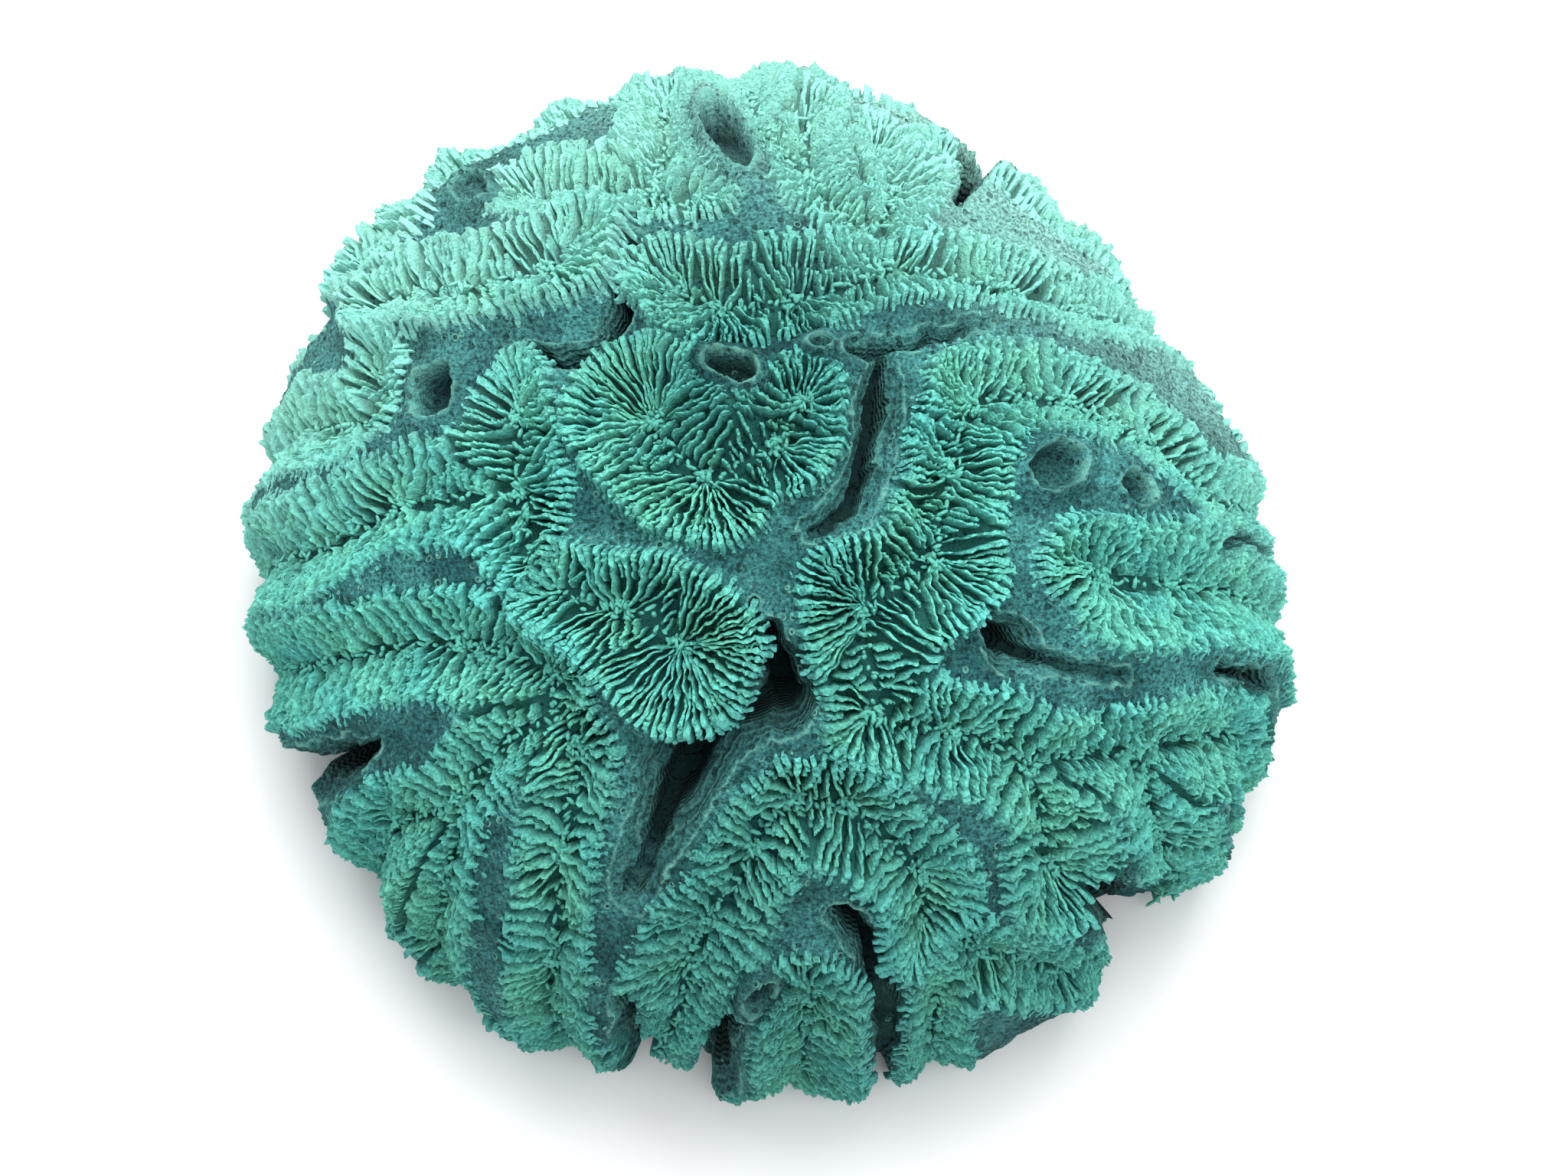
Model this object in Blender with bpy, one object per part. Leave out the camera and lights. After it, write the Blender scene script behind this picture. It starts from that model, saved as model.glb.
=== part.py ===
"""Brain coral: one domed colony with winding valleys, cut off flat where it grew.

The dome is an icosphere that a height field shapes: valleys between raised crests, lower
bands between the crests, slots and pits in the bands, and a flat cut underneath.
The layout is drawn in a view that looks down on the colony from the front, tipped by
VIEW_ELEVATION. There u runs to the right and v away from the viewer, both in millimetres
from the dome's centre, and every point is carried along its sight line onto the dome.
"""
import math

import bmesh
import bpy
import numpy as np

MM = 0.001

# The dome, in millimetres
DOME_REACH = 68.0
DOME_RISE = 52.0
CENTRE_HEIGHT = 15.0
# Reach of the outline every 30 degrees, from the right-hand side and anticlockwise
OUTLINE_REACH = [67.5, 61.5, 63.5, 68.5, 68.5, 67.5, 68.5, 66.5, 69.5, 68.0, 70.0, 71.5]

# The view that the layout is drawn in
VIEW_ELEVATION = 75.0
VIEW_DISTANCE = 800.0

# The relief, in millimetres unless it is a share
VALLEY_DEPTH_SHARE = 0.62
VALLEY_CURVE = 1.4
CREST_DROP = 1.3
CREST_DROP_WIDTH = 1.1
BAND_SLOPE = 0.12
BAND_LOWEST = 3.5
CREST_WOBBLE = 0.05
WOBBLE_LENGTH = 9.0
GROOVE_EDGE = 0.35

# The mesh
SPHERE_SUBDIVISIONS = 8
TRIANGLE_COUNT = 10800
# How near the cut a point counts as lying on it, in metres
CUT_SNAP = 0.00002

# Middle of the finished outline, which goes on the origin
OUTLINE_MIDDLE = (0.28, -0.33)

CORAL_COLOUR = (0.075, 0.30, 0.25, 1.0)
CORAL_ROUGHNESS = 0.85

# Valley floors: chains of (u, v, half width) for each winding lobe
LOBES = {
    "heart": [
        [(-15.8, 21.5, 10.0), (-12.8, 16.8, 9.5), (-9.2, 13.8, 9.5), (-7.0, 12.0, 8.0),
         (-3.5, 15.0, 6.0), (0.0, 17.0, 6.5), (1.8, 17.8, 7.5), (3.0, 20.5, 7.0), (5.5, 23.8, 5.5)],
    ],
    "middle": [
        [(-28.5, -1.5, 6.0), (-24.0, -4.0, 7.5), (-20.0, -4.7, 7.5), (-15.7, -5.0, 8.0),
         (-13.4, -8.6, 10.0), (-11.5, -9.8, 10.5)],
    ],
    "right": [
        [(29.2, 23.5, 7.5), (27.7, 20.0, 7.0), (26.4, 16.0, 7.0), (25.8, 11.0, 7.0), (24.3, 6.0, 7.5),
         (23.8, 1.5, 8.5), (19.0, -2.0, 8.0), (14.0, -4.8, 9.0), (14.0, -10.0, 8.0),
         (15.0, -15.0, 7.0), (14.8, -20.0, 7.0), (20.5, -21.5, 7.0), (25.5, -22.2, 7.5),
         (30.5, -23.5, 8.0), (34.0, -25.5, 8.0), (36.5, -27.2, 7.5), (37.2, -31.0, 7.5),
         (38.5, -34.8, 8.0), (39.2, -39.0, 8.5), (39.5, -42.0, 9.0)],
        [(29.2, 23.5, 7.5), (35.0, 24.7, 7.0), (42.0, 23.5, 6.5), (48.0, 21.0, 6.5),
         (53.5, 17.0, 6.5), (58.5, 12.5, 6.5), (61.5, 9.5, 6.5), (65.0, 8.5, 6.5)],
        [(36.5, -27.2, 7.5), (43.0, -25.5, 7.5), (51.0, -25.3, 7.5), (56.0, -24.0, 8.0),
         (62.8, -23.0, 8.0), (66.0, -23.5, 7.5)],
        [(51.0, -25.3, 7.5), (52.5, -31.0, 7.0), (54.0, -35.8, 7.5), (56.0, -39.5, 8.0),
         (57.5, -43.0, 8.0)],
    ],
    "right_end": [
        [(42.5, 0.8, 7.0), (46.2, -1.5, 9.0), (52.0, -1.8, 9.5), (58.5, -2.2, 9.0),
         (62.5, -3.0, 8.5), (68.0, -5.5, 8.0)],
    ],
    "upper": [
        [(-12.8, 40.5, 6.0), (-9.5, 38.8, 7.0), (-5.8, 37.4, 7.5), (-1.0, 37.8, 7.0), (4.2, 38.8, 8.0),
         (10.0, 40.0, 7.0), (15.0, 41.5, 6.5), (19.0, 42.0, 6.0), (24.0, 41.4, 6.0),
         (29.0, 40.5, 6.0), (34.0, 38.8, 6.0), (40.0, 36.2, 6.0), (45.5, 34.8, 5.5),
         (49.0, 33.8, 5.5), (54.0, 31.0, 5.5)],
    ],
    "upper_right": [
        [(25.0, 56.0, 6.0), (33.0, 51.5, 6.0), (38.5, 47.0, 6.0), (44.0, 43.0, 6.0), (49.5, 38.5, 6.0)],
    ],
    "far_left": [
        [(-31.0, 52.5, 7.0), (-24.0, 52.8, 7.0), (-20.0, 52.5, 7.0), (-15.0, 53.8, 7.0),
         (-12.5, 51.5, 6.0), (-8.0, 51.0, 5.0)],
        [(-15.0, 53.8, 7.0), (-13.0, 59.0, 6.5), (-13.0, 64.0, 6.5)],
    ],
    "far_left_rim": [
        [(-43.0, 53.0, 6.0), (-36.0, 59.0, 6.0), (-28.0, 62.5, 6.0), (-21.0, 65.0, 6.0)],
    ],
    "upper_left": [
        [(-50.0, 36.5, 6.5), (-44.0, 38.5, 7.0), (-40.0, 37.7, 7.0), (-35.0, 39.3, 7.5),
         (-30.0, 40.7, 7.5), (-25.5, 41.5, 7.0), (-23.5, 45.0, 6.0)],
        [(-52.0, 41.0, 7.0), (-48.0, 44.5, 7.0), (-44.5, 49.5, 7.0)],
    ],
    "far_middle": [
        [(6.0, 63.0, 7.0), (6.2, 58.0, 7.0), (6.5, 54.5, 7.0), (10.0, 50.5, 6.0), (15.0, 46.5, 5.0)],
        [(6.2, 55.0, 6.5), (4.0, 58.0, 6.5), (0.0, 62.0, 6.5), (-2.0, 67.5, 7.0)],
        [(16.0, 58.5, 7.0), (18.5, 54.5, 7.0), (18.0, 50.5, 6.5), (16.5, 47.5, 5.5)],
    ],
    "left": [
        [(-33.2, 26.0, 4.5), (-34.5, 21.0, 7.0), (-34.8, 16.0, 8.0), (-34.5, 11.5, 8.5),
         (-40.0, 11.3, 7.5), (-47.0, 11.2, 7.5), (-50.8, 10.0, 7.5), (-54.5, 7.8, 7.5),
         (-58.5, 6.0, 8.0), (-63.2, 3.0, 8.0), (-66.5, 3.5, 8.0)],
        [(-34.5, 11.5, 8.5), (-33.2, 6.0, 6.5), (-31.0, 1.5, 5.0)],
    ],
    "left_rim": [
        [(-52.0, 28.0, 6.0), (-52.5, 23.0, 6.5), (-57.0, 20.5, 7.0), (-62.5, 21.0, 7.5)],
    ],
    "lower_left": [
        [(-29.5, -13.8, 7.5), (-36.0, -10.2, 7.5), (-42.5, -9.0, 7.5), (-49.0, -9.2, 7.5),
         (-55.0, -10.0, 7.5), (-60.0, -11.2, 8.0), (-64.5, -12.5, 8.0)],
        [(-29.5, -13.8, 7.5), (-29.8, -18.0, 6.5), (-26.5, -23.5, 7.0), (-26.7, -29.0, 6.5),
         (-28.0, -35.0, 6.0), (-28.4, -38.0, 6.0), (-28.8, -45.0, 6.0), (-29.4, -51.2, 6.0),
         (-30.0, -57.0, 6.5), (-29.5, -62.5, 7.0)],
        [(-30.5, -20.0, 6.5), (-35.0, -21.8, 6.5), (-38.5, -25.0, 6.0), (-40.5, -27.5, 6.0),
         (-42.5, -30.5, 6.5), (-46.5, -32.5, 7.0), (-51.5, -33.2, 8.0)],
        [(-42.5, -30.5, 6.5), (-43.4, -35.5, 6.5), (-44.2, -41.0, 7.0), (-45.0, -46.0, 7.0),
         (-45.7, -50.5, 7.5), (-46.0, -54.0, 7.5)],
    ],
    "lower": [
        [(3.5, -31.5, 6.5), (0.0, -34.2, 6.5), (-2.3, -37.8, 6.5), (-4.5, -42.5, 6.5), (-6.8, -45.5, 7.0),
         (-8.5, -48.2, 8.0), (-11.2, -53.8, 8.5), (-12.0, -59.5, 8.0)],
        [(3.5, -31.5, 6.5), (11.0, -32.8, 8.0), (15.5, -36.2, 7.5), (20.5, -40.5, 7.5),
         (21.7, -44.0, 7.5), (21.8, -49.5, 7.0)],
    ],
    "front_end": [
        [(4.7, -53.5, 5.5), (5.2, -57.0, 7.5), (4.6, -61.0, 8.0), (4.7, -65.5, 8.0), (5.2, -69.0, 8.0)],
    ],
    "lower_right": [
        [(26.5, -50.0, 5.5), (29.0, -52.2, 7.0), (34.5, -53.3, 6.5), (40.0, -54.7, 6.5),
         (44.5, -55.3, 6.5)],
        [(23.5, -54.0, 5.0), (22.5, -59.0, 5.0), (22.0, -63.5, 5.0)],
    ],
}

# Lobes that stand up from the dome, in millimetres
LOBE_RISE = {"heart": 1.6, "middle": 2.2, "front_end": 1.5, "right_end": 1.2, "upper_left": 1.0}

# A chain whose last point is lower than this runs on down the flank, past the cut
FLANK_TOP = 36.0
FLANK_FOOT = -3.0
FLANK_POINTS = 4
FLANK_WAVE = 4.0
# Compass directions, in degrees, of the valleys that the view doesn't show
FLANK_VALLEYS = [16.0, 49.0, 77.0, 121.0, 150.0]
FLANK_HALF_WIDTH = 7.5

# Slots in the bands: chains of (u, v, half width, depth)
GROOVES = {
    "right_of_heart": [(16.0, 29.5, 1.6, 6.0), (15.8, 25.0, 2.2, 7.5), (14.8, 19.0, 2.2, 7.5),
                       (13.5, 13.0, 2.2, 7.0), (11.0, 7.8, 2.0, 6.0), (6.5, 6.0, 1.6, 3.0)],
    "above_right": [(12.5, 30.7, 1.2, 3.0), (18.0, 31.0, 1.1, 3.0), (25.0, 32.2, 1.0, 2.0),
                    (30.0, 33.5, 0.9, 1.2)],
    "cavity": [(-1.5, -4.5, 0.9, 5.0), (0.3, -8.5, 1.5, 9.0), (1.5, -13.0, 3.0, 12.0),
               (2.5, -17.0, 3.6, 12.0)],
    "long_slot": [(1.0, -17.5, 2.5, 8.0), (-6.0, -19.0, 4.0, 8.0), (-9.5, -22.5, 4.3, 9.0),
                  (-12.0, -27.0, 4.0, 9.0), (-13.8, -31.5, 3.2, 8.0), (-16.2, -37.0, 2.6, 5.0),
                  (-18.2, -42.0, 2.0, 3.0)],
    "left_of_heart": [(-17.0, 44.5, 1.2, 6.0), (-17.5, 40.5, 1.2, 8.0), (-18.8, 36.5, 1.6, 8.0),
                      (-20.5, 32.5, 1.6, 8.0), (-25.0, 29.5, 1.5, 7.0), (-30.0, 30.2, 1.0, 5.0),
                      (-33.5, 30.3, 0.8, 3.0)],
    "slit_right": [(30.0, -7.0, 1.2, 5.0), (33.0, -9.5, 2.8, 7.0), (35.5, -11.5, 1.5, 5.0),
                   (42.0, -13.0, 1.0, 2.0), (48.0, -14.2, 0.9, 1.5)],
    "lower_slot": [(9.5, -45.5, 1.5, 5.0), (13.0, -49.0, 2.0, 7.0), (14.5, -53.5, 2.5, 8.0),
                   (15.8, -58.0, 3.0, 8.0), (16.3, -63.5, 3.0, 9.0)],
}

# Notches that part the lobes at the outline: chains of (u, v, half width, depth)
NOTCHES = {
    "upper_right": [(26.2, 48.8, 0.8, 5.0), (28.5, 53.0, 1.6, 9.0), (30.0, 58.0, 2.6, 11.0)],
    "right": [(60.0, -13.0, 0.8, 5.0), (64.0, -14.5, 1.2, 8.0), (68.0, -15.0, 1.6, 9.0)],
    "right_small": [(60.5, 4.0, 0.8, 3.0), (66.0, 3.5, 1.2, 5.0)],
    "lower_right": [(48.0, -40.0, 1.2, 4.0), (46.0, -44.0, 2.6, 9.0), (49.5, -48.0, 4.4, 11.0)],
    "lower_right_small": [(61.0, -31.0, 0.8, 3.0), (65.0, -31.5, 1.4, 5.0)],
    "front": [(-4.0, -59.0, 1.2, 4.0), (-6.5, -62.5, 1.8, 7.0), (-7.0, -67.0, 2.4, 8.0)],
    "front_left": [(-20.0, -55.0, 0.9, 3.0), (-18.8, -63.0, 1.3, 5.0), (-18.5, -68.0, 1.7, 7.0)],
    "left": [(-52.5, -22.5, 1.2, 4.0), (-55.0, -23.5, 2.2, 6.0), (-57.5, -25.0, 2.8, 8.0),
             (-62.0, -26.0, 3.2, 10.0)],
}

# Oval pits: u, v, half length, half width, turn in degrees, depth
PITS = {
    "far": (-4.5, 58.2, 5.8, 2.4, -60.0, 5.0),
    "above_heart": (-4.3, 27.5, 3.6, 1.9, -22.0, 5.0),
    "right_large": (38.5, 13.8, 3.8, 3.0, 25.0, 3.5),
    "right_small": (48.7, 10.8, 2.4, 1.9, -40.0, 3.5),
    "small": (7.3, 30.3, 1.4, 0.8, 0.0, 2.0),
    "scar": (-38.0, 51.0, 2.4, 2.4, 0.0, 1.5),
    "left": (-43.0, 24.5, 3.8, 2.8, 70.0, 5.0),
    "front": (-1.2, -55.0, 2.6, 1.2, 50.0, 6.0),
}


def clear_scene():
    """Remove the objects that the scene starts with."""
    for old in list(bpy.data.objects):
        bpy.data.objects.remove(old, do_unlink=True)


def smooth_step(low, high, value):
    """Go smoothly from 0 at low to 1 at high."""
    share = np.clip((value - low) / (high - low), 0.0, 1.0)
    return share * share * (3.0 - 2.0 * share)


def reach_at(azimuth):
    """Return the dome's reach in a compass direction, in millimetres."""
    count = len(OUTLINE_REACH)
    values = np.array(OUTLINE_REACH)
    place = (np.degrees(azimuth) % 360.0) / (360.0 / count)
    first = np.floor(place).astype(int)
    share = place - first
    share = share * share * (3.0 - 2.0 * share)
    return values[first % count] * (1.0 - share) + values[(first + 1) % count] * share


def dome_radius(directions):
    """Return the distance from the dome's centre to its skin along each direction."""
    azimuth = np.arctan2(directions[:, 1], directions[:, 0])
    flat = np.hypot(directions[:, 0], directions[:, 1]) / reach_at(azimuth)
    steep = directions[:, 2] / DOME_RISE
    return 1.0 / np.sqrt(flat * flat + steep * steep)


def view_axes():
    """Return the view's right, up and backward directions."""
    elevation = math.radians(VIEW_ELEVATION)
    back = np.array([0.0, -math.cos(elevation), math.sin(elevation)])
    right = np.array([1.0, 0.0, 0.0])
    return right, np.cross(back, right), back


def on_dome(u, v):
    """Carry a point of the view along its sight line onto the dome."""
    right, up, back = view_axes()
    eye = back * VIEW_DISTANCE
    reach = DOME_REACH
    shrink = 1.0
    while True:
        ray = (right * u + up * v) * shrink - eye
        scale = np.array([reach, reach, DOME_RISE])
        a = np.sum((ray / scale) ** 2)
        b = 2.0 * np.sum(eye * ray / scale ** 2)
        c = np.sum((eye / scale) ** 2) - 1.0
        root = b * b - 4.0 * a * c
        if root < 0.0:
            shrink -= 0.004
            continue
        point = eye + ray * (-b - math.sqrt(root)) / (2.0 * a)
        next_reach = float(reach_at(math.atan2(point[1], point[0])))
        if abs(next_reach - reach) < 0.01:
            return point
        reach += (next_reach - reach) * 0.5


def on_flank(azimuth, height):
    """Return the point of the dome at a compass direction and a height over the cut."""
    turn = math.radians(azimuth)
    rise = (height - CENTRE_HEIGHT) / DOME_RISE
    reach = float(reach_at(turn)) * math.sqrt(1.0 - rise * rise)
    return np.array([reach * math.cos(turn), reach * math.sin(turn), rise * DOME_RISE])


def down_flank(azimuth, top):
    """Return points that wind from a height down the flank to below the cut."""
    points = []
    for step in range(1, FLANK_POINTS + 1):
        share = step / FLANK_POINTS
        sway = FLANK_WAVE * math.sin(math.radians(azimuth) * 5.0) * math.sin(math.pi * share)
        points.append(on_flank(azimuth + sway, top + (FLANK_FOOT - top) * share))
    return points


def run_down(places):
    """Carry a chain of (point, value, ...) rows on down the flank where it reaches the outline."""
    point = places[-1][0]
    height = point[2] + CENTRE_HEIGHT
    if height > FLANK_TOP:
        return places
    azimuth = math.degrees(math.atan2(point[1], point[0]))
    return places + [(place,) + places[-1][1:] for place in down_flank(azimuth, height)]


def chain_places(chain):
    """Put a drawn chain on the dome, as (point, value, ...) rows."""
    return run_down([(on_dome(row[0], row[1]),) + tuple(row[2:]) for row in chain])


def valley_segments():
    """Return the segments of each lobe: two ends on the dome with their half widths."""
    segments = {}
    for name, chains in LOBES.items():
        segments[name] = []
        for chain in chains:
            places = chain_places(chain)
            segments[name].extend(zip(places[:-1], places[1:]))
    tip = DOME_REACH * math.cos(math.radians(VIEW_ELEVATION))
    for azimuth in FLANK_VALLEYS:
        top = CENTRE_HEIGHT + tip * math.sin(math.radians(azimuth))
        places = [(point, FLANK_HALF_WIDTH) for point in down_flank(azimuth, top)]
        places.insert(0, (on_flank(azimuth, top), FLANK_HALF_WIDTH))
        segments["flank_%d" % azimuth] = list(zip(places[:-1], places[1:]))
    return segments


def along_segment(points, start, end):
    """Return each point's distance to a segment and its place along it, from 0 to 1."""
    line = end - start
    share = np.clip((points - start) @ line / (line @ line), 0.0, 1.0)
    return np.linalg.norm(points - start - share[:, None] * line, axis=1), share


def wobble(points, length, seed):
    """Return smooth noise between about -1 and 1, with waves of the given length."""
    random = np.random.default_rng(seed)
    total = np.zeros(len(points))
    waves = 6
    for _ in range(waves):
        heading = random.normal(size=3)
        heading *= 2.0 * math.pi / length / np.linalg.norm(heading)
        total += np.sin(points @ heading + random.uniform(0.0, 2.0 * math.pi))
    return total / math.sqrt(waves)


def lobe_fields(points):
    """Return each lobe's field, 0 on its floor line and 1 on its crest, and its half width."""
    bend = 1.0 + CREST_WOBBLE * wobble(points, WOBBLE_LENGTH, 3)
    fields = {}
    for name, segments in valley_segments().items():
        nearest = np.full(len(points), 1e9)
        width = np.ones(len(points))
        for (start, start_width), (end, end_width) in segments:
            distance, share = along_segment(points, start, end)
            here = start_width + (end_width - start_width) * share
            ratio = distance / here * bend
            closer = ratio < nearest
            nearest[closer] = ratio[closer]
            width[closer] = here[closer]
        fields[name] = (nearest, width)
    return fields


def chain_cut(points, chains):
    """Return how deep the slots or notches of some chains cut at each point, in millimetres."""
    cut = np.zeros(len(points))
    for chain in chains:
        places = chain_places(chain)
        for (start, start_width, start_depth), (end, end_width, end_depth) in zip(places[:-1], places[1:]):
            distance, share = along_segment(points, start, end)
            width = start_width + (end_width - start_width) * share
            depth = start_depth + (end_depth - start_depth) * share
            wall = smooth_step(1.0 + GROOVE_EDGE, 1.0 - GROOVE_EDGE, distance / width)
            cut = np.maximum(cut, depth * wall)
    return cut


def pit_cut(points):
    """Return how deep the oval pits cut at each point, in millimetres."""
    cut = np.zeros(len(points))
    right, up, _ = view_axes()
    for u, v, half_length, half_width, turn, depth in PITS.values():
        centre = on_dome(u, v)
        normal = centre / np.linalg.norm(centre)
        angle = math.radians(turn)
        along = right * math.cos(angle) + up * math.sin(angle)
        along -= normal * (along @ normal)
        along /= np.linalg.norm(along)
        across = np.cross(normal, along)
        offset = points - centre
        oval = np.hypot(offset @ along / half_length, offset @ across / half_width)
        oval = np.where(offset @ normal < -half_length, 9.0, oval)
        wall = smooth_step(1.0 + GROOVE_EDGE, 1.0 - GROOVE_EDGE, oval)
        cut = np.maximum(cut, depth * wall)
    return cut


def relief(points):
    """Return the height of the coral's skin over the dome at each point, in millimetres."""
    fields = lobe_fields(points)
    nearest = np.full(len(points), 1e9)
    width = np.ones(len(points))
    rise = np.zeros(len(points))
    for name, (ratio, half_width) in fields.items():
        closer = ratio < nearest
        nearest[closer] = ratio[closer]
        width[closer] = half_width[closer]
        rise += LOBE_RISE.get(name, 0.0) * smooth_step(1.3, 0.85, ratio)
    inside = np.clip(1.0 - nearest, 0.0, 1.0)
    valley = -VALLEY_DEPTH_SHARE * width * inside ** VALLEY_CURVE
    beyond = np.clip(nearest - 1.0, 0.0, None) * width
    band = -CREST_DROP * smooth_step(0.0, CREST_DROP_WIDTH, beyond)
    band -= np.minimum(BAND_SLOPE * beyond, BAND_LOWEST)
    open_share = smooth_step(0.93, 1.02, nearest)
    cut = np.maximum(chain_cut(points, GROOVES.values()), pit_cut(points)) * open_share
    cut = np.maximum(cut, chain_cut(points, NOTCHES.values()))
    return valley + band + rise - cut


def shape_coral(mesh):
    """Move the sphere's points onto the coral's skin."""
    flat = np.empty(len(mesh.vertices) * 3, dtype=np.float32)
    mesh.vertices.foreach_get("co", flat)
    directions = flat.reshape(-1, 3).astype(float)
    directions /= np.linalg.norm(directions, axis=1)[:, None]
    skin = dome_radius(directions)
    radius = skin + relief(directions * skin[:, None])
    places = directions * radius[:, None]
    places[:, 2] += CENTRE_HEIGHT
    places[:, 0] -= OUTLINE_MIDDLE[0]
    places[:, 1] -= OUTLINE_MIDDLE[1]
    mesh.vertices.foreach_set("co", (places * MM).ravel())
    mesh.update()


def thin_out(coral):
    """Reduce the mesh to the wanted number of triangles, keeping its shape."""
    thin = coral.modifiers.new("thin out", "DECIMATE")
    thin.ratio = TRIANGLE_COUNT / len(coral.data.polygons)
    reduced = bpy.data.meshes.new_from_object(coral.evaluated_get(bpy.context.evaluated_depsgraph_get()))
    coral.modifiers.clear()
    coral.data = reduced


def cut_flat(mesh):
    """Cut the coral off flat at its base and close the cut."""
    work = bmesh.new()
    work.from_mesh(mesh)
    everything = work.verts[:] + work.edges[:] + work.faces[:]
    cut = bmesh.ops.bisect_plane(
        work, geom=everything, dist=CUT_SNAP, plane_co=(0.0, 0.0, 0.0), plane_no=(0.0, 0.0, -1.0),
        clear_outer=True)
    for vertex in work.verts:
        if abs(vertex.co.z) <= CUT_SNAP:
            vertex.co.z = 0.0
    rim = [part for part in cut["geom_cut"] if isinstance(part, bmesh.types.BMEdge)]
    bmesh.ops.contextual_create(work, geom=rim)
    bmesh.ops.triangulate(work, faces=work.faces[:])
    bmesh.ops.recalc_face_normals(work, faces=work.faces[:])
    work.to_mesh(mesh)
    work.free()


def coral_material():
    """Make the matt blue-green of the dry skeleton."""
    material = bpy.data.materials.new("coral_skeleton")
    material.use_nodes = True
    shader = material.node_tree.nodes["Principled BSDF"]
    shader.inputs["Base Color"].default_value = CORAL_COLOUR
    shader.inputs["Roughness"].default_value = CORAL_ROUGHNESS
    shader.inputs["Metallic"].default_value = 0.0
    return material


def build():
    """Model the coral."""
    clear_scene()
    bpy.ops.mesh.primitive_ico_sphere_add(subdivisions=SPHERE_SUBDIVISIONS, radius=1.0)
    coral = bpy.context.object
    coral.name = "brain_coral"
    coral.data.name = "brain_coral"
    shape_coral(coral.data)
    thin_out(coral)
    cut_flat(coral.data)
    coral.data.materials.clear()
    coral.data.materials.append(coral_material())
    parts = bpy.data.collections.new("brain coral")
    bpy.context.scene.collection.children.link(parts)
    for home in list(coral.users_collection):
        home.objects.unlink(coral)
    parts.objects.link(coral)


build()
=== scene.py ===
"""Brain coral, dressed: the dry skeleton of a domed colony, with every septum modelled.

The layout of lobes, slots, notches and pits follows the faceted solid's, with a few depths
and rises of its own. It is drawn in a view that looks down on the colony from the front.
There u runs to the right and v away from the viewer, both in millimetres from the dome's
centre. The skeleton's floors lie below the solid's skin, and the upper edges of the septa
reach up to about that skin.
"""
import functools
import math

import bmesh
import bpy
import numpy as np
from bpy.props import FloatProperty, FloatVectorProperty, IntProperty, PointerProperty
from bpy.types import Operator, Panel, PropertyGroup
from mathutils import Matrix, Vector
from mathutils.kdtree import KDTree


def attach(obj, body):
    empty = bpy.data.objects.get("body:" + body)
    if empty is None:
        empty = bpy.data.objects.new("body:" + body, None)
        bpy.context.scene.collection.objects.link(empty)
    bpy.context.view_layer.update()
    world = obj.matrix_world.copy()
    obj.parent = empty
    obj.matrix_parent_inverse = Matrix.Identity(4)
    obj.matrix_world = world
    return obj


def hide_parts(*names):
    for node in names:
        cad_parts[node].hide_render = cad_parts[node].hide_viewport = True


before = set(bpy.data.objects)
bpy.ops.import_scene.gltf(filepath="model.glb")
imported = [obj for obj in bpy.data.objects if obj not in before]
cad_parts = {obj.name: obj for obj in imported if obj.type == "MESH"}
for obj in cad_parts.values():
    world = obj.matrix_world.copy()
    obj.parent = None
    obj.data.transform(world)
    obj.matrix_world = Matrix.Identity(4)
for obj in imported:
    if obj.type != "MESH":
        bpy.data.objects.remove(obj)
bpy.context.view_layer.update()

bl_info = {
    "name": "Brain Coral",
    "version": (1, 0, 0),
    "blender": (4, 5, 0),
    "location": "View3D > Sidebar > Brain Coral",
    "description": "Builds the skeleton, septa and columellae of a brain coral",
    "category": "Object",
}

MM = 0.001

# The dome, in millimetres
DOME_REACH = 68.0
DOME_RISE = 52.0
CENTRE_HEIGHT = 15.0
OUTLINE_REACH = [67.5, 61.5, 63.5, 68.5, 68.5, 67.5, 68.5, 66.5, 69.5, 68.0, 70.0, 71.5]
OUTLINE_MIDDLE = (0.28, -0.33)

# The view that the layout is drawn in
VIEW_ELEVATION = 75.0
VIEW_DISTANCE = 800.0
VIEW_WIDTH = 204.8
VIEW_AIM = (2.4, -1.8)

# The relief, in millimetres unless it is a share
VALLEY_DEPTH_SHARE = 0.56
VALLEY_CURVE = 1.4
FLOOR_FILL = 0.12
CREST_DROP = 1.3
CREST_DROP_WIDTH = 1.1
OUTER_DROP_SHARE = 0.35
BAND_SLOPE = 0.12
BAND_LOWEST = 3.5
PIT_COLLAR = 0.9
PIT_RISE = 0.5
PIT_RAGGEDNESS = 0.4
RIM_NARROWING = 0.07
FAR = 1000.0

# Places across a lobe, as shares of its half width: 0 on the floor line, 1 on the crest
LOBE_FOOT = 1.3
LOBE_TOP = 0.85
BAND_START = 0.93
BAND_FULL = 1.02
FLOOR_EDGE = 0.72
FLOOR_MIDDLE = 0.25

# Distances past a pit's edge at which the floors begin, are full, and the lobes are full
PIT_EDGE = 0.3
PIT_FLOORS = 1.7
PIT_LOBES = 2.6

# Distances from the dome's axis: where the crown ends, where the flank begins and where
# the centre's forms have died out
CROWN_END = 26.0
FLANK_BEGIN = 46.0
CENTRE_END = 50.0

# A slot's wall, in shares of its half width and its depth: its edge, a ledge and the cleft
GROOVE_EDGE = 0.35
LEDGE_START = 1.05
LEDGE_WIDTH = 0.5
CLEFT_START = 0.68
CLEFT_FULL = 0.46
EDGE_SHARE = 0.22
LEDGE_SHARE = 0.16
CLEFT_SHARE = 0.72

# A pit, in shares of its half length, half width and depth. It is deeper at its far end
PIT_NEAR = 3.5
PIT_DEPTH_SHARE = 0.85
PIT_TILT = 0.35
PIT_WALL = (1.02, 0.78)
PIT_RIM = 0.95

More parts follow.
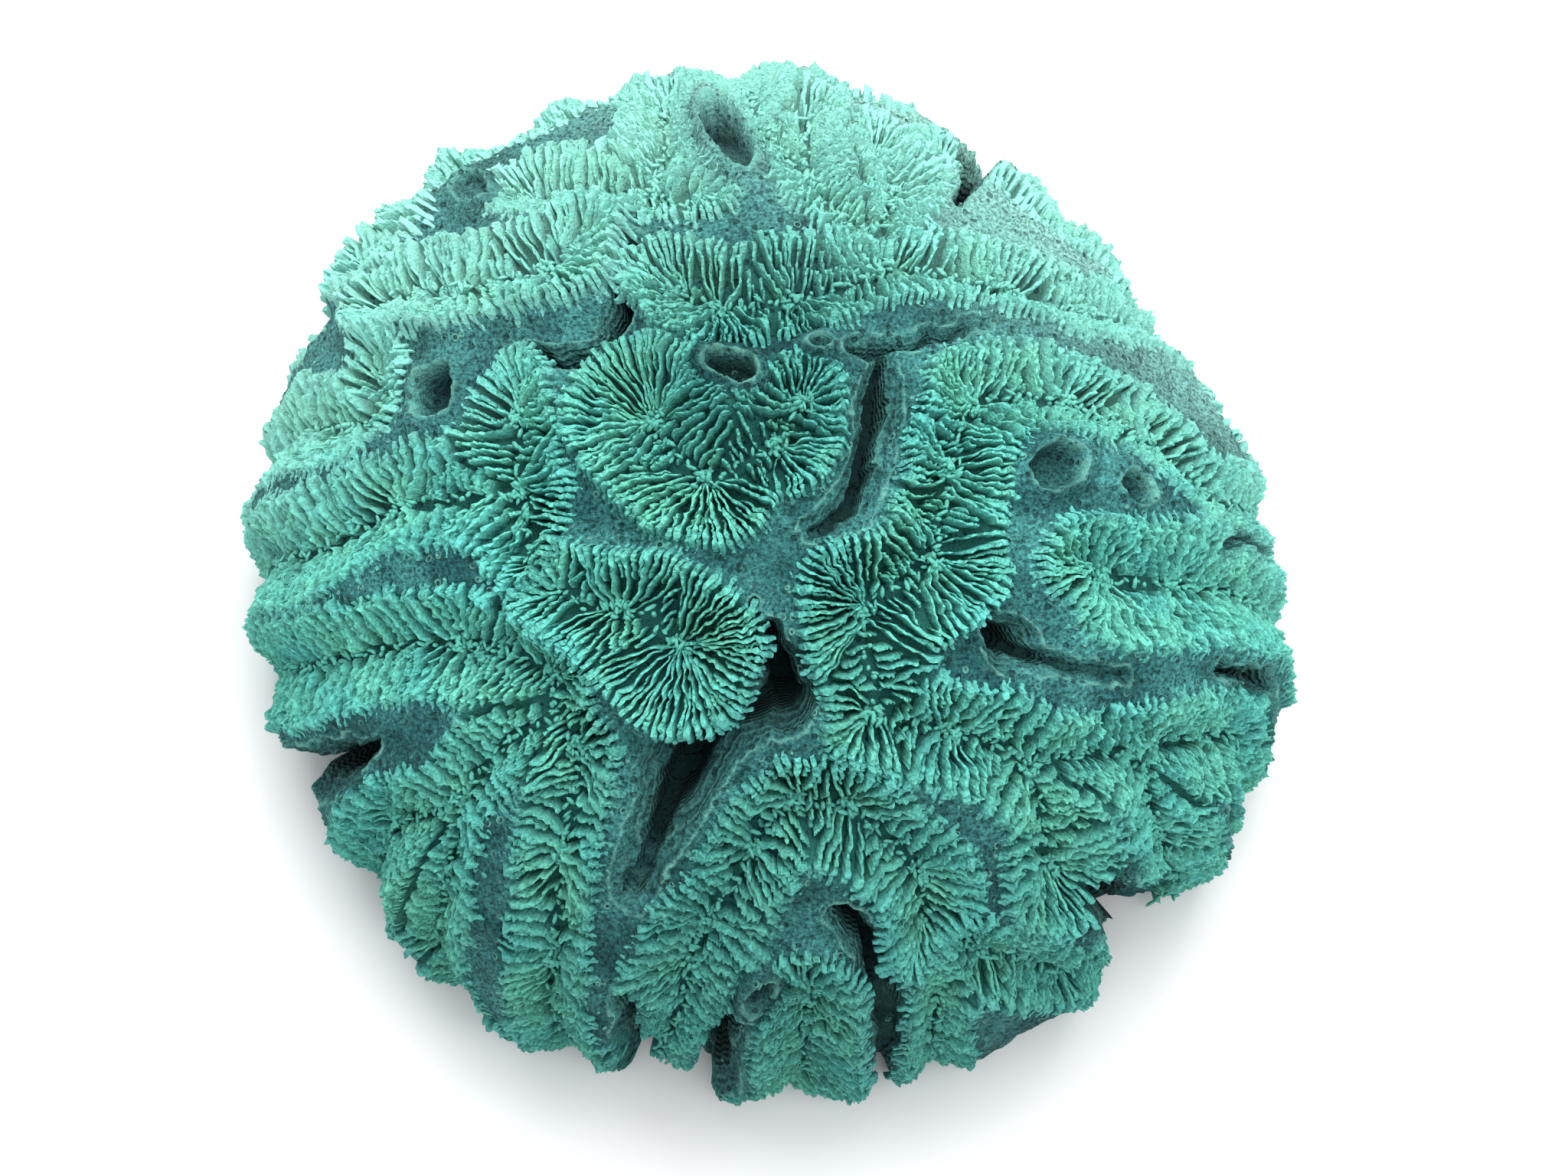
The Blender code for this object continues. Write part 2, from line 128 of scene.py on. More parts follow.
# The terraces down a slot's wall and the broken line round it
TERRACE_RISE = 0.24
TERRACE_HEIGHT = 1.05
TERRACES_START = (0.3, 1.0)
TERRACES_END = (4.0, 2.6)
RIM_RISE = 0.26
RIM_PLACE = 0.12
RIM_WIDTH = 0.18
RIM_LEVEL = 0.75

# Waves of the surface: rows of (height, wave length, seed). The crests' height is a share
CREST_WAVES = [(0.05, 9.0, 3)]
EDGE_WAVES = [(0.42, 5.0, 31), (0.14, 1.6, 41)]
TERRACE_WAVES = [(0.25, 14.0, 51)]
BAND_GRAINS = [(0.15, 1.9, 11), (0.22, 5.0, 12)]
GRAINS = [(0.14, 1.3, 13)]
RIM_WAVES = [(0.35, 2.6, 52), (0.2, 9.0, 53)]
SEPTUM_WAVES = [(0.30, 3.4, 61), (0.22, 7.5, 62)]

# How far the floors lie below the septa's upper edges, in shares of the septa's stand
CREST_SINK = 0.18
CENTRAL_SINK = 0.24
FLOOR_LIFT = 0.35

# The septa's form, in millimetres unless it is a share
COARSER = 0.34
KNOB_PLACE = 1.5
KNOB_LENGTH = 1.6
KNOB_RISE = 0.22
MINOR_DROP = 0.42
RISE_RANGE = (-0.38, 0.26)
OUTER_DROP = 1.25
OUTER_DROP_LENGTH = 1.1
INNER_DROP = 0.5
PLAIN_THICKNESS = 0.44
KNOB_THICKNESS = 0.50
OUTER_TAPER = 0.5
TIP_THICKNESS = 0.12
INNER_TAPER = 0.35
THICKNESS_RANGE = (0.86, 1.1)
OVERHANG_RANGE = (0.6, 1.8)
LEAST_RISE = 0.05
SHORTEST = 1.6
POLYP_REACH = 6.6
POLYP_PULL = 0.90

# Valley floors: chains of (u, v, half width) for each winding lobe
LOBES = {
    "heart": [
        [(-15.8, 21.5, 10.0), (-12.8, 16.8, 9.5), (-9.2, 13.8, 9.5), (-7.0, 12.0, 8.0),
         (-3.5, 15.0, 6.0), (0.0, 17.0, 6.5), (1.8, 17.8, 7.5), (3.0, 20.5, 7.0), (5.5, 23.8, 5.5)],
    ],
    "middle": [
        [(-28.5, -1.5, 6.0), (-24.0, -4.0, 7.5), (-20.0, -4.7, 7.5), (-15.7, -5.0, 8.0),
         (-13.4, -8.6, 10.0), (-11.5, -9.8, 10.5)],
    ],
    "right": [
        [(29.2, 23.5, 7.5), (27.7, 20.0, 7.0), (26.4, 16.0, 7.0), (25.8, 11.0, 7.0), (24.3, 6.0, 7.5),
         (23.8, 1.5, 8.5), (19.0, -2.0, 8.0), (14.0, -4.8, 9.0), (14.0, -10.0, 8.0),
         (15.0, -15.0, 7.0), (14.8, -20.0, 7.0), (20.5, -21.5, 7.0), (25.5, -22.2, 7.5),
         (30.5, -23.5, 8.0), (34.0, -25.5, 8.0), (36.5, -27.2, 7.5), (37.2, -31.0, 7.5),
         (38.5, -34.8, 8.0), (39.2, -39.0, 8.5), (39.5, -42.0, 9.0)],
        [(29.2, 23.5, 7.5), (35.0, 24.7, 7.0), (42.0, 23.5, 6.5), (48.0, 21.0, 6.5),
         (53.5, 17.0, 6.5), (58.5, 12.5, 6.5), (61.5, 9.5, 6.5), (65.0, 8.5, 6.5)],
        [(36.5, -27.2, 7.5), (43.0, -25.5, 7.5), (51.0, -25.3, 7.5), (56.0, -24.0, 8.0),
         (62.8, -23.0, 8.0), (66.0, -23.5, 7.5)],
        [(51.0, -25.3, 7.5), (52.5, -31.0, 7.0), (54.0, -35.8, 7.5), (56.0, -39.5, 8.0),
         (57.5, -43.0, 8.0)],
    ],
    "right_end": [
        [(42.5, 0.8, 7.0), (46.2, -1.5, 9.0), (52.0, -1.8, 9.5), (58.5, -2.2, 9.0),
         (62.5, -3.0, 8.5), (68.0, -5.5, 8.0)],
    ],
    "upper": [
        [(-12.8, 40.5, 6.0), (-9.5, 38.8, 7.0), (-5.8, 37.4, 7.5), (-1.0, 37.8, 7.0), (4.2, 38.8, 8.0),
         (10.0, 40.0, 7.0), (15.0, 41.5, 6.5), (19.0, 42.0, 6.0), (24.0, 41.4, 6.0),
         (29.0, 40.5, 6.0), (34.0, 38.8, 6.0), (40.0, 36.2, 6.0), (45.5, 34.8, 5.5),
         (49.0, 33.8, 5.5), (54.0, 31.0, 5.5)],
    ],
    "upper_right": [
        [(25.0, 56.0, 6.0), (33.0, 51.5, 6.0), (38.5, 47.0, 6.0), (44.0, 43.0, 6.0), (49.5, 38.5, 6.0)],
    ],
    "far_left": [
        [(-31.0, 52.5, 7.0), (-24.0, 52.8, 7.0), (-20.0, 52.5, 7.0), (-15.0, 53.8, 7.0),
         (-12.5, 51.5, 6.0), (-8.0, 51.0, 5.0)],
        [(-15.0, 53.8, 7.0), (-13.0, 59.0, 6.5), (-13.0, 64.0, 6.5)],
    ],
    "far_left_rim": [
        [(-43.0, 53.0, 6.0), (-36.0, 59.0, 6.0), (-28.0, 62.5, 6.0), (-21.0, 65.0, 6.0)],
    ],
    "upper_left": [
        [(-50.0, 36.5, 6.5), (-44.0, 38.5, 7.0), (-40.0, 37.7, 7.0), (-35.0, 39.3, 7.5),
         (-30.0, 40.7, 7.5), (-25.5, 41.5, 7.0), (-23.5, 45.0, 6.0)],
        [(-52.0, 41.0, 7.0), (-48.0, 44.5, 7.0), (-44.5, 49.5, 7.0)],
    ],
    "far_middle": [
        [(6.0, 63.0, 7.0), (6.2, 58.0, 7.0), (6.5, 54.5, 7.0), (10.0, 50.5, 6.0), (15.0, 46.5, 5.0)],
        [(6.2, 55.0, 6.5), (4.0, 58.0, 6.5), (0.0, 62.0, 6.5), (-2.0, 67.5, 7.0)],
        [(16.0, 58.5, 7.0), (18.5, 54.5, 7.0), (18.0, 50.5, 6.5), (16.5, 47.5, 5.5)],
    ],
    "left": [
        [(-33.2, 26.0, 4.5), (-34.5, 21.0, 7.0), (-34.8, 16.0, 8.0), (-34.5, 11.5, 8.5),
         (-40.0, 11.3, 7.5), (-47.0, 11.2, 7.5), (-50.8, 10.0, 7.5), (-54.5, 7.8, 7.5),
         (-58.5, 6.0, 8.0), (-63.2, 3.0, 8.0), (-66.5, 3.5, 8.0)],
        [(-34.5, 11.5, 8.5), (-33.2, 6.0, 6.5), (-31.0, 1.5, 5.0)],
    ],
    "left_rim": [
        [(-52.0, 28.0, 6.0), (-52.5, 23.0, 6.5), (-57.0, 20.5, 7.0), (-62.5, 21.0, 7.5)],
    ],
    "lower_left": [
        [(-29.5, -13.8, 7.5), (-36.0, -10.2, 7.5), (-42.5, -9.0, 7.5), (-49.0, -9.2, 7.5),
         (-55.0, -10.0, 7.5), (-60.0, -11.2, 8.0), (-64.5, -12.5, 8.0)],
        [(-29.5, -13.8, 7.5), (-29.8, -18.0, 6.5), (-26.5, -23.5, 7.0), (-26.7, -29.0, 6.5),
         (-28.0, -35.0, 6.0), (-28.4, -38.0, 6.0), (-28.8, -45.0, 6.0), (-29.4, -51.2, 6.0),
         (-30.0, -57.0, 6.5), (-29.5, -62.5, 7.0)],
        [(-30.5, -20.0, 6.5), (-35.0, -21.8, 6.5), (-38.5, -25.0, 6.0), (-40.5, -27.5, 6.0),
         (-42.5, -30.5, 6.5), (-46.5, -32.5, 7.0), (-51.5, -33.2, 8.0)],
        [(-42.5, -30.5, 6.5), (-43.4, -35.5, 6.5), (-44.2, -41.0, 7.0), (-45.0, -46.0, 7.0),
         (-45.7, -50.5, 7.5), (-46.0, -54.0, 7.5)],
    ],
    "lower": [
        [(3.5, -31.5, 6.5), (0.0, -34.2, 6.5), (-2.3, -37.8, 6.5), (-4.5, -42.5, 6.5), (-6.8, -45.5, 7.0),
         (-8.5, -48.2, 8.0), (-11.2, -53.8, 8.5), (-12.0, -59.5, 8.0)],
        [(3.5, -31.5, 6.5), (11.0, -32.8, 8.0), (15.5, -36.2, 7.5), (20.5, -40.5, 7.5),
         (21.7, -44.0, 7.5), (21.8, -49.5, 7.0)],
    ],
    "front_end": [
        [(4.7, -53.5, 5.5), (5.2, -57.0, 7.5), (4.6, -61.0, 8.0), (4.7, -65.5, 8.0), (5.2, -69.0, 8.0)],
    ],
    "lower_right": [
        [(26.5, -50.0, 5.5), (29.0, -52.2, 7.0), (34.5, -53.3, 6.5), (40.0, -54.7, 6.5),
         (44.5, -55.3, 6.5)],
        [(23.5, -54.0, 5.0), (22.5, -59.0, 5.0), (22.0, -63.5, 5.0)],
    ],
}

# Lobes that stand up from the dome, in millimetres
LOBE_RISE = {"heart": 1.6, "middle": 2.2, "front_end": 1.5, "right_end": 1.2, "upper_left": 2.6}

# A chain whose last point is lower than this runs on down the flank, past the cut
FLANK_TOP = 36.0
FLANK_FOOT = -3.0
FLANK_POINTS = 4
FLANK_WAVE = 4.0
FLANK_VALLEYS = [16.0, 49.0, 77.0, 121.0, 150.0]
FLANK_HALF_WIDTH = 7.5

# Slots in the bands: chains of (u, v, half width, depth)
GROOVES = {
    "right_of_heart": [(16.0, 29.5, 1.6, 4.5), (15.8, 25.0, 2.2, 5.0), (14.8, 19.0, 2.2, 5.0),
                       (13.5, 13.0, 2.2, 5.0), (11.0, 7.8, 2.0, 4.5), (6.5, 6.0, 1.6, 2.5)],
    "above_right": [(12.5, 30.7, 1.2, 3.0), (18.0, 31.0, 1.1, 3.0), (25.0, 32.2, 1.0, 2.0),
                    (30.0, 33.5, 0.9, 1.2)],
    "cavity": [(-1.5, -4.5, 0.9, 5.0), (0.3, -8.5, 1.5, 9.0), (1.5, -13.0, 3.0, 12.0),
               (2.5, -17.0, 3.6, 12.0)],
    "long_slot": [(1.0, -17.5, 2.5, 8.0), (-6.0, -19.0, 4.0, 8.0), (-9.5, -22.5, 4.3, 9.0),
                  (-12.0, -27.0, 4.0, 9.0), (-13.8, -31.5, 3.2, 8.0), (-16.2, -37.0, 2.6, 5.0),
                  (-18.2, -42.0, 2.0, 3.0)],
    "left_of_heart": [(-17.0, 44.5, 1.2, 6.0), (-17.5, 40.5, 1.2, 8.0), (-18.8, 36.5, 1.6, 8.0),
                      (-20.5, 32.5, 1.6, 8.0), (-25.0, 29.5, 1.5, 7.0), (-30.0, 30.2, 1.0, 5.0),
                      (-33.5, 30.3, 0.8, 3.0)],
    "slit_right": [(30.0, -7.0, 1.2, 5.0), (33.0, -9.5, 2.8, 7.0), (35.5, -11.5, 1.5, 5.0),
                   (42.0, -13.0, 1.0, 2.0), (48.0, -14.2, 0.9, 1.5)],
    "lower_slot": [(9.5, -45.5, 1.5, 5.0), (13.0, -49.0, 2.0, 7.0), (14.5, -53.5, 2.5, 8.0),
                   (15.8, -58.0, 3.0, 4.0), (16.3, -63.5, 3.0, 3.5)],
}

# Notches that part the lobes at the outline: chains of (u, v, half width, depth)
NOTCHES = {
    "upper_right": [(26.2, 48.8, 0.8, 5.0), (28.5, 53.0, 1.6, 9.0), (30.0, 58.0, 2.6, 11.0)],
    "right": [(60.0, -13.0, 0.8, 5.0), (64.0, -14.5, 1.2, 8.0), (68.0, -15.0, 1.6, 9.0)],
    "right_small": [(60.5, 4.0, 0.8, 3.0), (66.0, 3.5, 1.2, 5.0)],
    "lower_right": [(48.0, -40.0, 1.2, 4.0), (46.0, -44.0, 2.6, 9.0), (49.5, -48.0, 4.4, 11.0)],
    "lower_right_small": [(61.0, -31.0, 0.8, 3.0), (65.0, -31.5, 1.4, 5.0)],
    "front": [(-4.0, -59.0, 1.2, 4.0), (-6.5, -62.5, 1.8, 7.0), (-7.0, -67.0, 2.4, 8.0)],
    "front_left": [(-20.0, -55.0, 0.9, 3.0), (-18.8, -63.0, 1.3, 5.0), (-18.5, -68.0, 1.7, 7.0)],
    "left": [(-52.5, -22.5, 1.2, 4.0), (-55.0, -23.5, 2.2, 6.0), (-57.5, -25.0, 2.8, 8.0),
             (-62.0, -26.0, 3.2, 10.0)],
}

# Oval pits: u, v, half length, half width, turn in degrees, depth
PITS = {
    "far": (-4.5, 58.2, 5.8, 2.4, -60.0, 5.0),
    "above_heart": (-4.3, 27.5, 3.6, 1.9, -22.0, 5.0),
    "right_large": (38.5, 13.8, 3.8, 3.0, 25.0, 3.5),
    "right_small": (48.7, 10.8, 2.4, 1.9, -40.0, 3.5),
    "small": (7.3, 30.3, 1.4, 0.8, 0.0, 2.0),
    "scar": (-38.0, 51.0, 2.4, 2.4, 0.0, 1.5),
    "left": (-43.0, 24.5, 3.8, 2.8, 70.0, 5.0),
    "front": (-1.2, -55.0, 2.6, 1.2, 50.0, 6.0),
}

# Polyp centres, to which the septa near them turn: (u, v)
POLYPS = [
    (-15.3, 21.7), (-8.7, 13.5), (1.8, 17.3), (5.4, 22.8), (-12.0, -9.6), (-19.5, -4.7),
    (14.0, -4.8), (23.8, 1.5), (26.2, 14.5), (29.2, 23.5), (14.8, -20.0), (25.5, -22.2),
    (36.5, -27.2), (39.4, -41.5), (46.2, -1.2), (56.0, -2.0), (42.0, 23.5), (53.5, 17.0),
    (51.0, -25.3), (54.0, -35.8), (-5.8, 37.4), (4.2, 38.8), (17.0, 42.0), (34.0, 38.8),
    (-34.6, 12.5), (-34.0, 22.0), (-50.8, 10.0), (-29.5, -13.8), (-42.5, -9.0), (-26.5, -23.5),
    (-28.4, -38.0), (-29.5, -52.0), (-51.0, -33.2), (-42.5, -30.5), (-44.2, -41.0), (3.5, -31.5),
    (-2.3, -37.8), (-8.5, -48.2), (-11.2, -53.8), (11.0, -32.8), (21.0, -42.0), (5.2, -57.0),
    (29.0, -52.2), (6.5, 55.0), (-15.0, 53.6), (18.2, 52.0), (-40.0, 38.0), (-28.5, 41.0),
    (-57.0, 20.5),
]


def length_setting(name, millimetres, description):
    """Return a setting for a length."""
    return FloatProperty(
        name=name, description=description, default=millimetres * MM, unit="LENGTH", precision=5)


def count_setting(name, default, least, description):
    """Return a setting for a number of things."""
    return IntProperty(name=name, description=description, default=default, min=least)


def colour_setting(name, default, description):
    """Return a setting for a colour."""
    return FloatVectorProperty(
        name=name, description=description, subtype="COLOR", size=4, default=default + (1.0,),
        min=0.0, max=1.0)


class CoralSizes(PropertyGroup):
    """Sizes of the skeleton's fine parts."""

    septum_spacing: length_setting("Septum spacing", 1.0, "Distance between septa along a crest")
    septum_thickness: length_setting("Septum thickness", 0.72, "Thickness of a septum at its knob")
    septum_stand: length_setting("Septum stand", 3.0, "How far a septum stands up from the floor")
    crest_overhang: length_setting("Crest overhang", 0.9, "How far the septa run out past the crest")
    tooth_height: length_setting("Tooth height", 0.62, "Height of the teeth on a septum's edge")
    stations: count_setting("Stations", 22, 6, "Rings of points along a septum")
    lump_spacing: length_setting("Lump spacing", 0.95, "Distance between lumps along a valley")
    polyp_lumps: count_setting("Polyp lumps", 22, 1, "Lumps of the columella at a polyp's centre")
    lump_length: length_setting("Lump length", 0.62, "Half length of a columella's lump")


class CoralColours(PropertyGroup):
    """Colours of the skeleton."""

    septum: colour_setting("Septum", (0.122, 0.50, 0.408), "Colour of the septa's edges")
    # Painted shade: the dark root colour stands in for the shade low down between the septa.
    root: colour_setting("Septum root shade", (0.024, 0.150, 0.126), "Colour low down between the septa")
    band: colour_setting("Band", (0.016, 0.086, 0.088), "Colour of the bands between the lobes")
    patch: colour_setting("Band patch", (0.050, 0.215, 0.208), "Paler patches of the bands")
    crest: colour_setting("Crest", (0.050, 0.235, 0.245), "Blue tint of the septa's outer ends")
    rim: colour_setting("Rim", (0.20, 0.56, 0.47), "Colour of the pale line round the slots")
    # Painted light: this pale colour stands in for the strong light on the far side and the flanks.
    overlit: colour_setting("Overlit", (0.40, 0.81, 0.69), "Colour of the bleached far side")
    lump: colour_setting("Lump", (0.075, 0.34, 0.27), "Darker colour of the columellae")
    # Painted shade: this near-black stands in for the shade inside pores, pits, notches and deep slots.
    hollow_shade: colour_setting("Pore", (0.008, 0.030, 0.032), "Colour of pores and deep slots")
    floor: colour_setting("Surface", (0.86, 0.86, 0.86), "Colour of what the coral rests on")


def smooth_step(low, high, value):
    """Go smoothly from 0 at low to 1 at high."""
    share = np.clip((value - low) / (high - low), 0.0, 1.0)
    return share * share * (3.0 - 2.0 * share)


def reach_at(azimuth):
    """Return the dome's reach in a compass direction, in millimetres."""
    count = len(OUTLINE_REACH)
    values = np.array(OUTLINE_REACH)
    place = (np.degrees(azimuth) % 360.0) / (360.0 / count)
    first = np.floor(place).astype(int)
    share = place - first
    share = share * share * (3.0 - 2.0 * share)
    return values[first % count] * (1.0 - share) + values[(first + 1) % count] * share


def to_skin(points):
    """Carry points along their own directions onto the dome."""
    azimuth = np.arctan2(points[:, 1], points[:, 0])
    flat = np.hypot(points[:, 0], points[:, 1]) / reach_at(azimuth)
    steep = points[:, 2] / DOME_RISE
    return points / np.sqrt(flat * flat + steep * steep)[:, None]


def unit(vectors):
    """Return vectors of length 1."""
    return vectors / np.maximum(np.linalg.norm(vectors, axis=-1, keepdims=True), 1e-9)


def view_axes():
    """Return the view's right, up and backward directions."""
    elevation = math.radians(VIEW_ELEVATION)
    back = np.array([0.0, -math.cos(elevation), math.sin(elevation)])
    right = np.array([1.0, 0.0, 0.0])
    return right, np.cross(back, right), back


def on_dome(u, v):
    """Carry a point of the view along its sight line onto the dome."""
    right, up, back = view_axes()
    eye = back * VIEW_DISTANCE
    reach = DOME_REACH
    shrink = 1.0
    while True:
        ray = (right * u + up * v) * shrink - eye
        scale = np.array([reach, reach, DOME_RISE])
        a = np.sum((ray / scale) ** 2)
        b = 2.0 * np.sum(eye * ray / scale ** 2)
        c = np.sum((eye / scale) ** 2) - 1.0
        root = b * b - 4.0 * a * c
        if root < 0.0:
            shrink -= 0.004
            continue
        point = eye + ray * (-b - math.sqrt(root)) / (2.0 * a)
        next_reach = float(reach_at(math.atan2(point[1], point[0])))
        if abs(next_reach - reach) < 0.01:
            return point
        reach += (next_reach - reach) * 0.5


def on_flank(azimuth, height):
    """Return the point of the dome at a compass direction and a height over the cut."""
    turn = math.radians(azimuth)
    rise = (height - CENTRE_HEIGHT) / DOME_RISE
    reach = float(reach_at(turn)) * math.sqrt(1.0 - rise * rise)
    return np.array([reach * math.cos(turn), reach * math.sin(turn), rise * DOME_RISE])


def down_flank(azimuth, top):
    """Return points that wind from a height down the flank to below the cut."""
    points = []
    for step in range(1, FLANK_POINTS + 1):
        share = step / FLANK_POINTS
        sway = FLANK_WAVE * math.sin(math.radians(azimuth) * 5.0) * math.sin(math.pi * share)
        points.append(on_flank(azimuth + sway, top + (FLANK_FOOT - top) * share))
    return points


def chain_places(chain):
    """Put a drawn chain on the dome and down the flank, as (point, value, ...) rows."""
    places = [(on_dome(row[0], row[1]),) + tuple(row[2:]) for row in chain]
    point = places[-1][0]
    height = point[2] + CENTRE_HEIGHT
    if height > FLANK_TOP:
        return places
    azimuth = math.degrees(math.atan2(point[1], point[0]))
    return places + [(place,) + places[-1][1:] for place in down_flank(azimuth, height)]


def segments_of(chains):
    """Return the two ends of each segment of some chains, as pairs of rows."""
    rows = []
    for chain in chains:
        places = chain_places(chain)
        rows.extend(zip(places[:-1], places[1:]))
    return rows


@functools.lru_cache(maxsize=1)
def layout():
    """Return the segments of every lobe, slot and notch."""
    lobes = {name: segments_of(chains) for name, chains in LOBES.items()}
    tip = DOME_REACH * math.cos(math.radians(VIEW_ELEVATION))
    for azimuth in FLANK_VALLEYS:
        top = CENTRE_HEIGHT + tip * math.sin(math.radians(azimuth))
        places = [(point, FLANK_HALF_WIDTH) for point in down_flank(azimuth, top)]
        places.insert(0, (on_flank(azimuth, top), FLANK_HALF_WIDTH))
        lobes["flank_%d" % azimuth] = list(zip(places[:-1], places[1:]))
    return {
        "lobes": lobes,
        "grooves": segments_of(GROOVES.values()),
        "notches": segments_of(NOTCHES.values()),
    }


def along_segment(points, start, end):
    """Return each point's distance to a segment and its place along it, from 0 to 1."""
    line = end - start
    share = np.clip((points - start) @ line / (line @ line), 0.0, 1.0)
    return np.linalg.norm(points - start - share[:, None] * line, axis=1), share


def near_segment(points, start, end, reach):
    """Return the indices of the points within reach of a segment, and some more."""
    middle = (start + end) * 0.5
    limit = reach + np.linalg.norm(end - start) * 0.5
    return np.flatnonzero(np.sum((points - middle) ** 2, axis=1) < limit * limit)


def wobble(points, length, seed):
    """Return smooth noise between about -1 and 1, with waves of the given length."""
    random = np.random.default_rng(seed)
    total = np.zeros(len(points))
    count = 6
    for _ in range(count):
        heading = random.normal(size=3)
        heading *= 2.0 * math.pi / length / np.linalg.norm(heading)
        total += np.sin(points @ heading + random.uniform(0.0, 2.0 * math.pi))
    return total / math.sqrt(count)


def waves(points, rows, level=0.0, turn=0):
    """Return a level plus waves from rows of (height, wave length, seed)."""
    return sum((height * wobble(points, length, seed + turn) for height, length, seed in rows), level)


def off_axis(points):
    """Return how far points are from the dome's upright axis, in millimetres."""
    return np.hypot(points[..., 0], points[..., 1])


def lobe_fields(points):
    """Return every lobe's field at each point, 0 on its floor line and 1 on its crest.

    The second result is the half width of the lobe's nearest stretch.
    """
    lobes = layout()["lobes"]
    bend = waves(points, CREST_WAVES, 1.0)
    bend += RIM_NARROWING * smooth_step(CROWN_END, FLANK_BEGIN, off_axis(points))
    ratios = np.full((len(lobes), len(points)), FAR)
    widths = np.ones((len(lobes), len(points)))
    for row, segments in enumerate(lobes.values()):
        for (start, start_width), (end, end_width) in segments:
            near = near_segment(points, start, end, 3.0 * max(start_width, end_width))
            distance, share = along_segment(points[near], start, end)
            here = start_width + (end_width - start_width) * share
            ratio = distance / here * bend[near]
            closer = ratio < ratios[row, near]
            ratios[row, near[closer]] = ratio[closer]
            widths[row, near[closer]] = here[closer]
    return ratios, widths


def slot_wall(ratio):
    """Return the share of a slot's depth at a share of its half width: edge, ledge and cleft."""
    edge = smooth_step(1.0 + GROOVE_EDGE, 1.0, ratio)
    ledge = np.clip((LEDGE_START - ratio) / LEDGE_WIDTH, 0.0, 1.0)
    cleft = smooth_step(CLEFT_START, CLEFT_FULL, ratio)
    return EDGE_SHARE * edge + LEDGE_SHARE * ledge + CLEFT_SHARE * cleft


def chain_cut(points, segments):
    """Return how deep slots cut at each point and the distance past their edges, in millimetres."""
    cut = np.zeros(len(points))
    past = np.full(len(points), FAR)
    for (start, start_width, start_depth), (end, end_width, end_depth) in segments:
        near = near_segment(points, start, end, 2.0 * max(start_width, end_width) + 2.0)
        distance, share = along_segment(points[near], start, end)
        width = start_width + (end_width - start_width) * share
        depth = start_depth + (end_depth - start_depth) * share
        cut[near] = np.maximum(cut[near], depth * slot_wall(distance / width))
        past[near] = np.minimum(past[near], distance - width * (1.0 + GROOVE_EDGE))
    return cut, past


def pit_cut(points):
    """Return how deep the oval pits cut at each point and the distance past their edges."""
    cut = np.zeros(len(points))
    past = np.full(len(points), FAR)
    right, up, _ = view_axes()
    for u, v, half_length, half_width, turn, depth in PITS.values():
        centre = on_dome(u, v)
        angle = math.radians(turn)
        along = right * math.cos(angle) + up * math.sin(angle)
        across = up * math.cos(angle) - right * math.sin(angle)
        near = near_segment(points, centre, centre, PIT_NEAR * half_length)
        offset = points[near] - centre
        oval = np.hypot(offset @ along / half_length, offset @ across / half_width)
        shelf = PIT_DEPTH_SHARE + PIT_TILT * np.clip(offset @ up / half_length, -1.0, 1.0)
        cut[near] = np.maximum(cut[near], depth * shelf * smooth_step(*PIT_WALL, oval))
        past[near] = np.minimum(past[near], (oval - PIT_RIM) * half_width)
    return cut, past


def survey(points):
    """Measure the coral's form at points on the dome, all in millimetres.

    envelope is the height of the septa's upper edges over the dome, before slots are cut.
    """
    ratios, widths = lobe_fields(points)
    lobe = ratios.argmin(axis=0)
    here = np.arange(len(points))
    nearest = ratios[lobe, here]
    width = widths[lobe, here]
    rise = np.zeros(len(points))
    for row, name in enumerate(layout()["lobes"]):
        rise += LOBE_RISE.get(name, 0.0) * smooth_step(LOBE_FOOT, LOBE_TOP, ratios[row])
    inside = np.clip(1.0 - nearest, 0.0, 1.0)
    beyond = np.clip(nearest - 1.0, 0.0, None) * width
    bowl = inside - FLOOR_FILL * smooth_step(0.7, 1.0, inside)
    valley = -VALLEY_DEPTH_SHARE * width * bowl ** VALLEY_CURVE
    central = smooth_step(CENTRE_END, CROWN_END, off_axis(points))
    drop = CREST_DROP * (OUTER_DROP_SHARE + (1.0 - OUTER_DROP_SHARE) * central)
    band = -drop * smooth_step(0.0, CREST_DROP_WIDTH, beyond)
    band -= np.minimum(BAND_SLOPE * beyond, BAND_LOWEST)
    open_share = smooth_step(BAND_START, BAND_FULL, nearest)
    warp = np.stack([waves(points, EDGE_WAVES, 0.0, axis) for axis in range(3)], axis=1)
    ragged = points + warp
    slot, past_slot = chain_cut(ragged, layout()["grooves"])
    pit, past_pit = pit_cut(points + PIT_RAGGEDNESS * warp)
    away = smooth_step(PIT_EDGE, PIT_LOBES, past_pit)
    valley *= away
    band *= away
    rise = rise * away + PIT_RISE * (1.0 - away)
    notch, past_notch = chain_cut(ragged, layout()["notches"])
    return {
        "ratios": ratios, "lobe": lobe, "nearest": nearest, "beyond": beyond, "central": central,
        "envelope": valley + band + rise, "terraced": np.maximum(slot * open_share, notch),
        "hollow": np.maximum(pit, notch), "cut": np.maximum(np.maximum(pit, notch), slot * open_share),
        "past": np.minimum(np.where(open_share > 0.5, past_slot, FAR), np.minimum(past_pit, past_notch)),
        "pit_past": past_pit,
    }


def floor_sink(found, stand):
    """Return how far the skeleton lies below the septa's upper edges, in millimetres."""
    nearest = found["nearest"]
    at_crest = CREST_SINK + CENTRAL_SINK * found["central"]
    slope = at_crest + (1.0 - at_crest) * smooth_step(1.0, FLOOR_EDGE, nearest)
    middle = 1.0 - FLOOR_LIFT * smooth_step(FLOOR_MIDDLE, 0.0, nearest)
    sink = stand * slope * middle * smooth_step(CREST_DROP_WIDTH, 0.1, found["beyond"])
    return sink * smooth_step(PIT_EDGE, PIT_FLOORS, found["pit_past"])


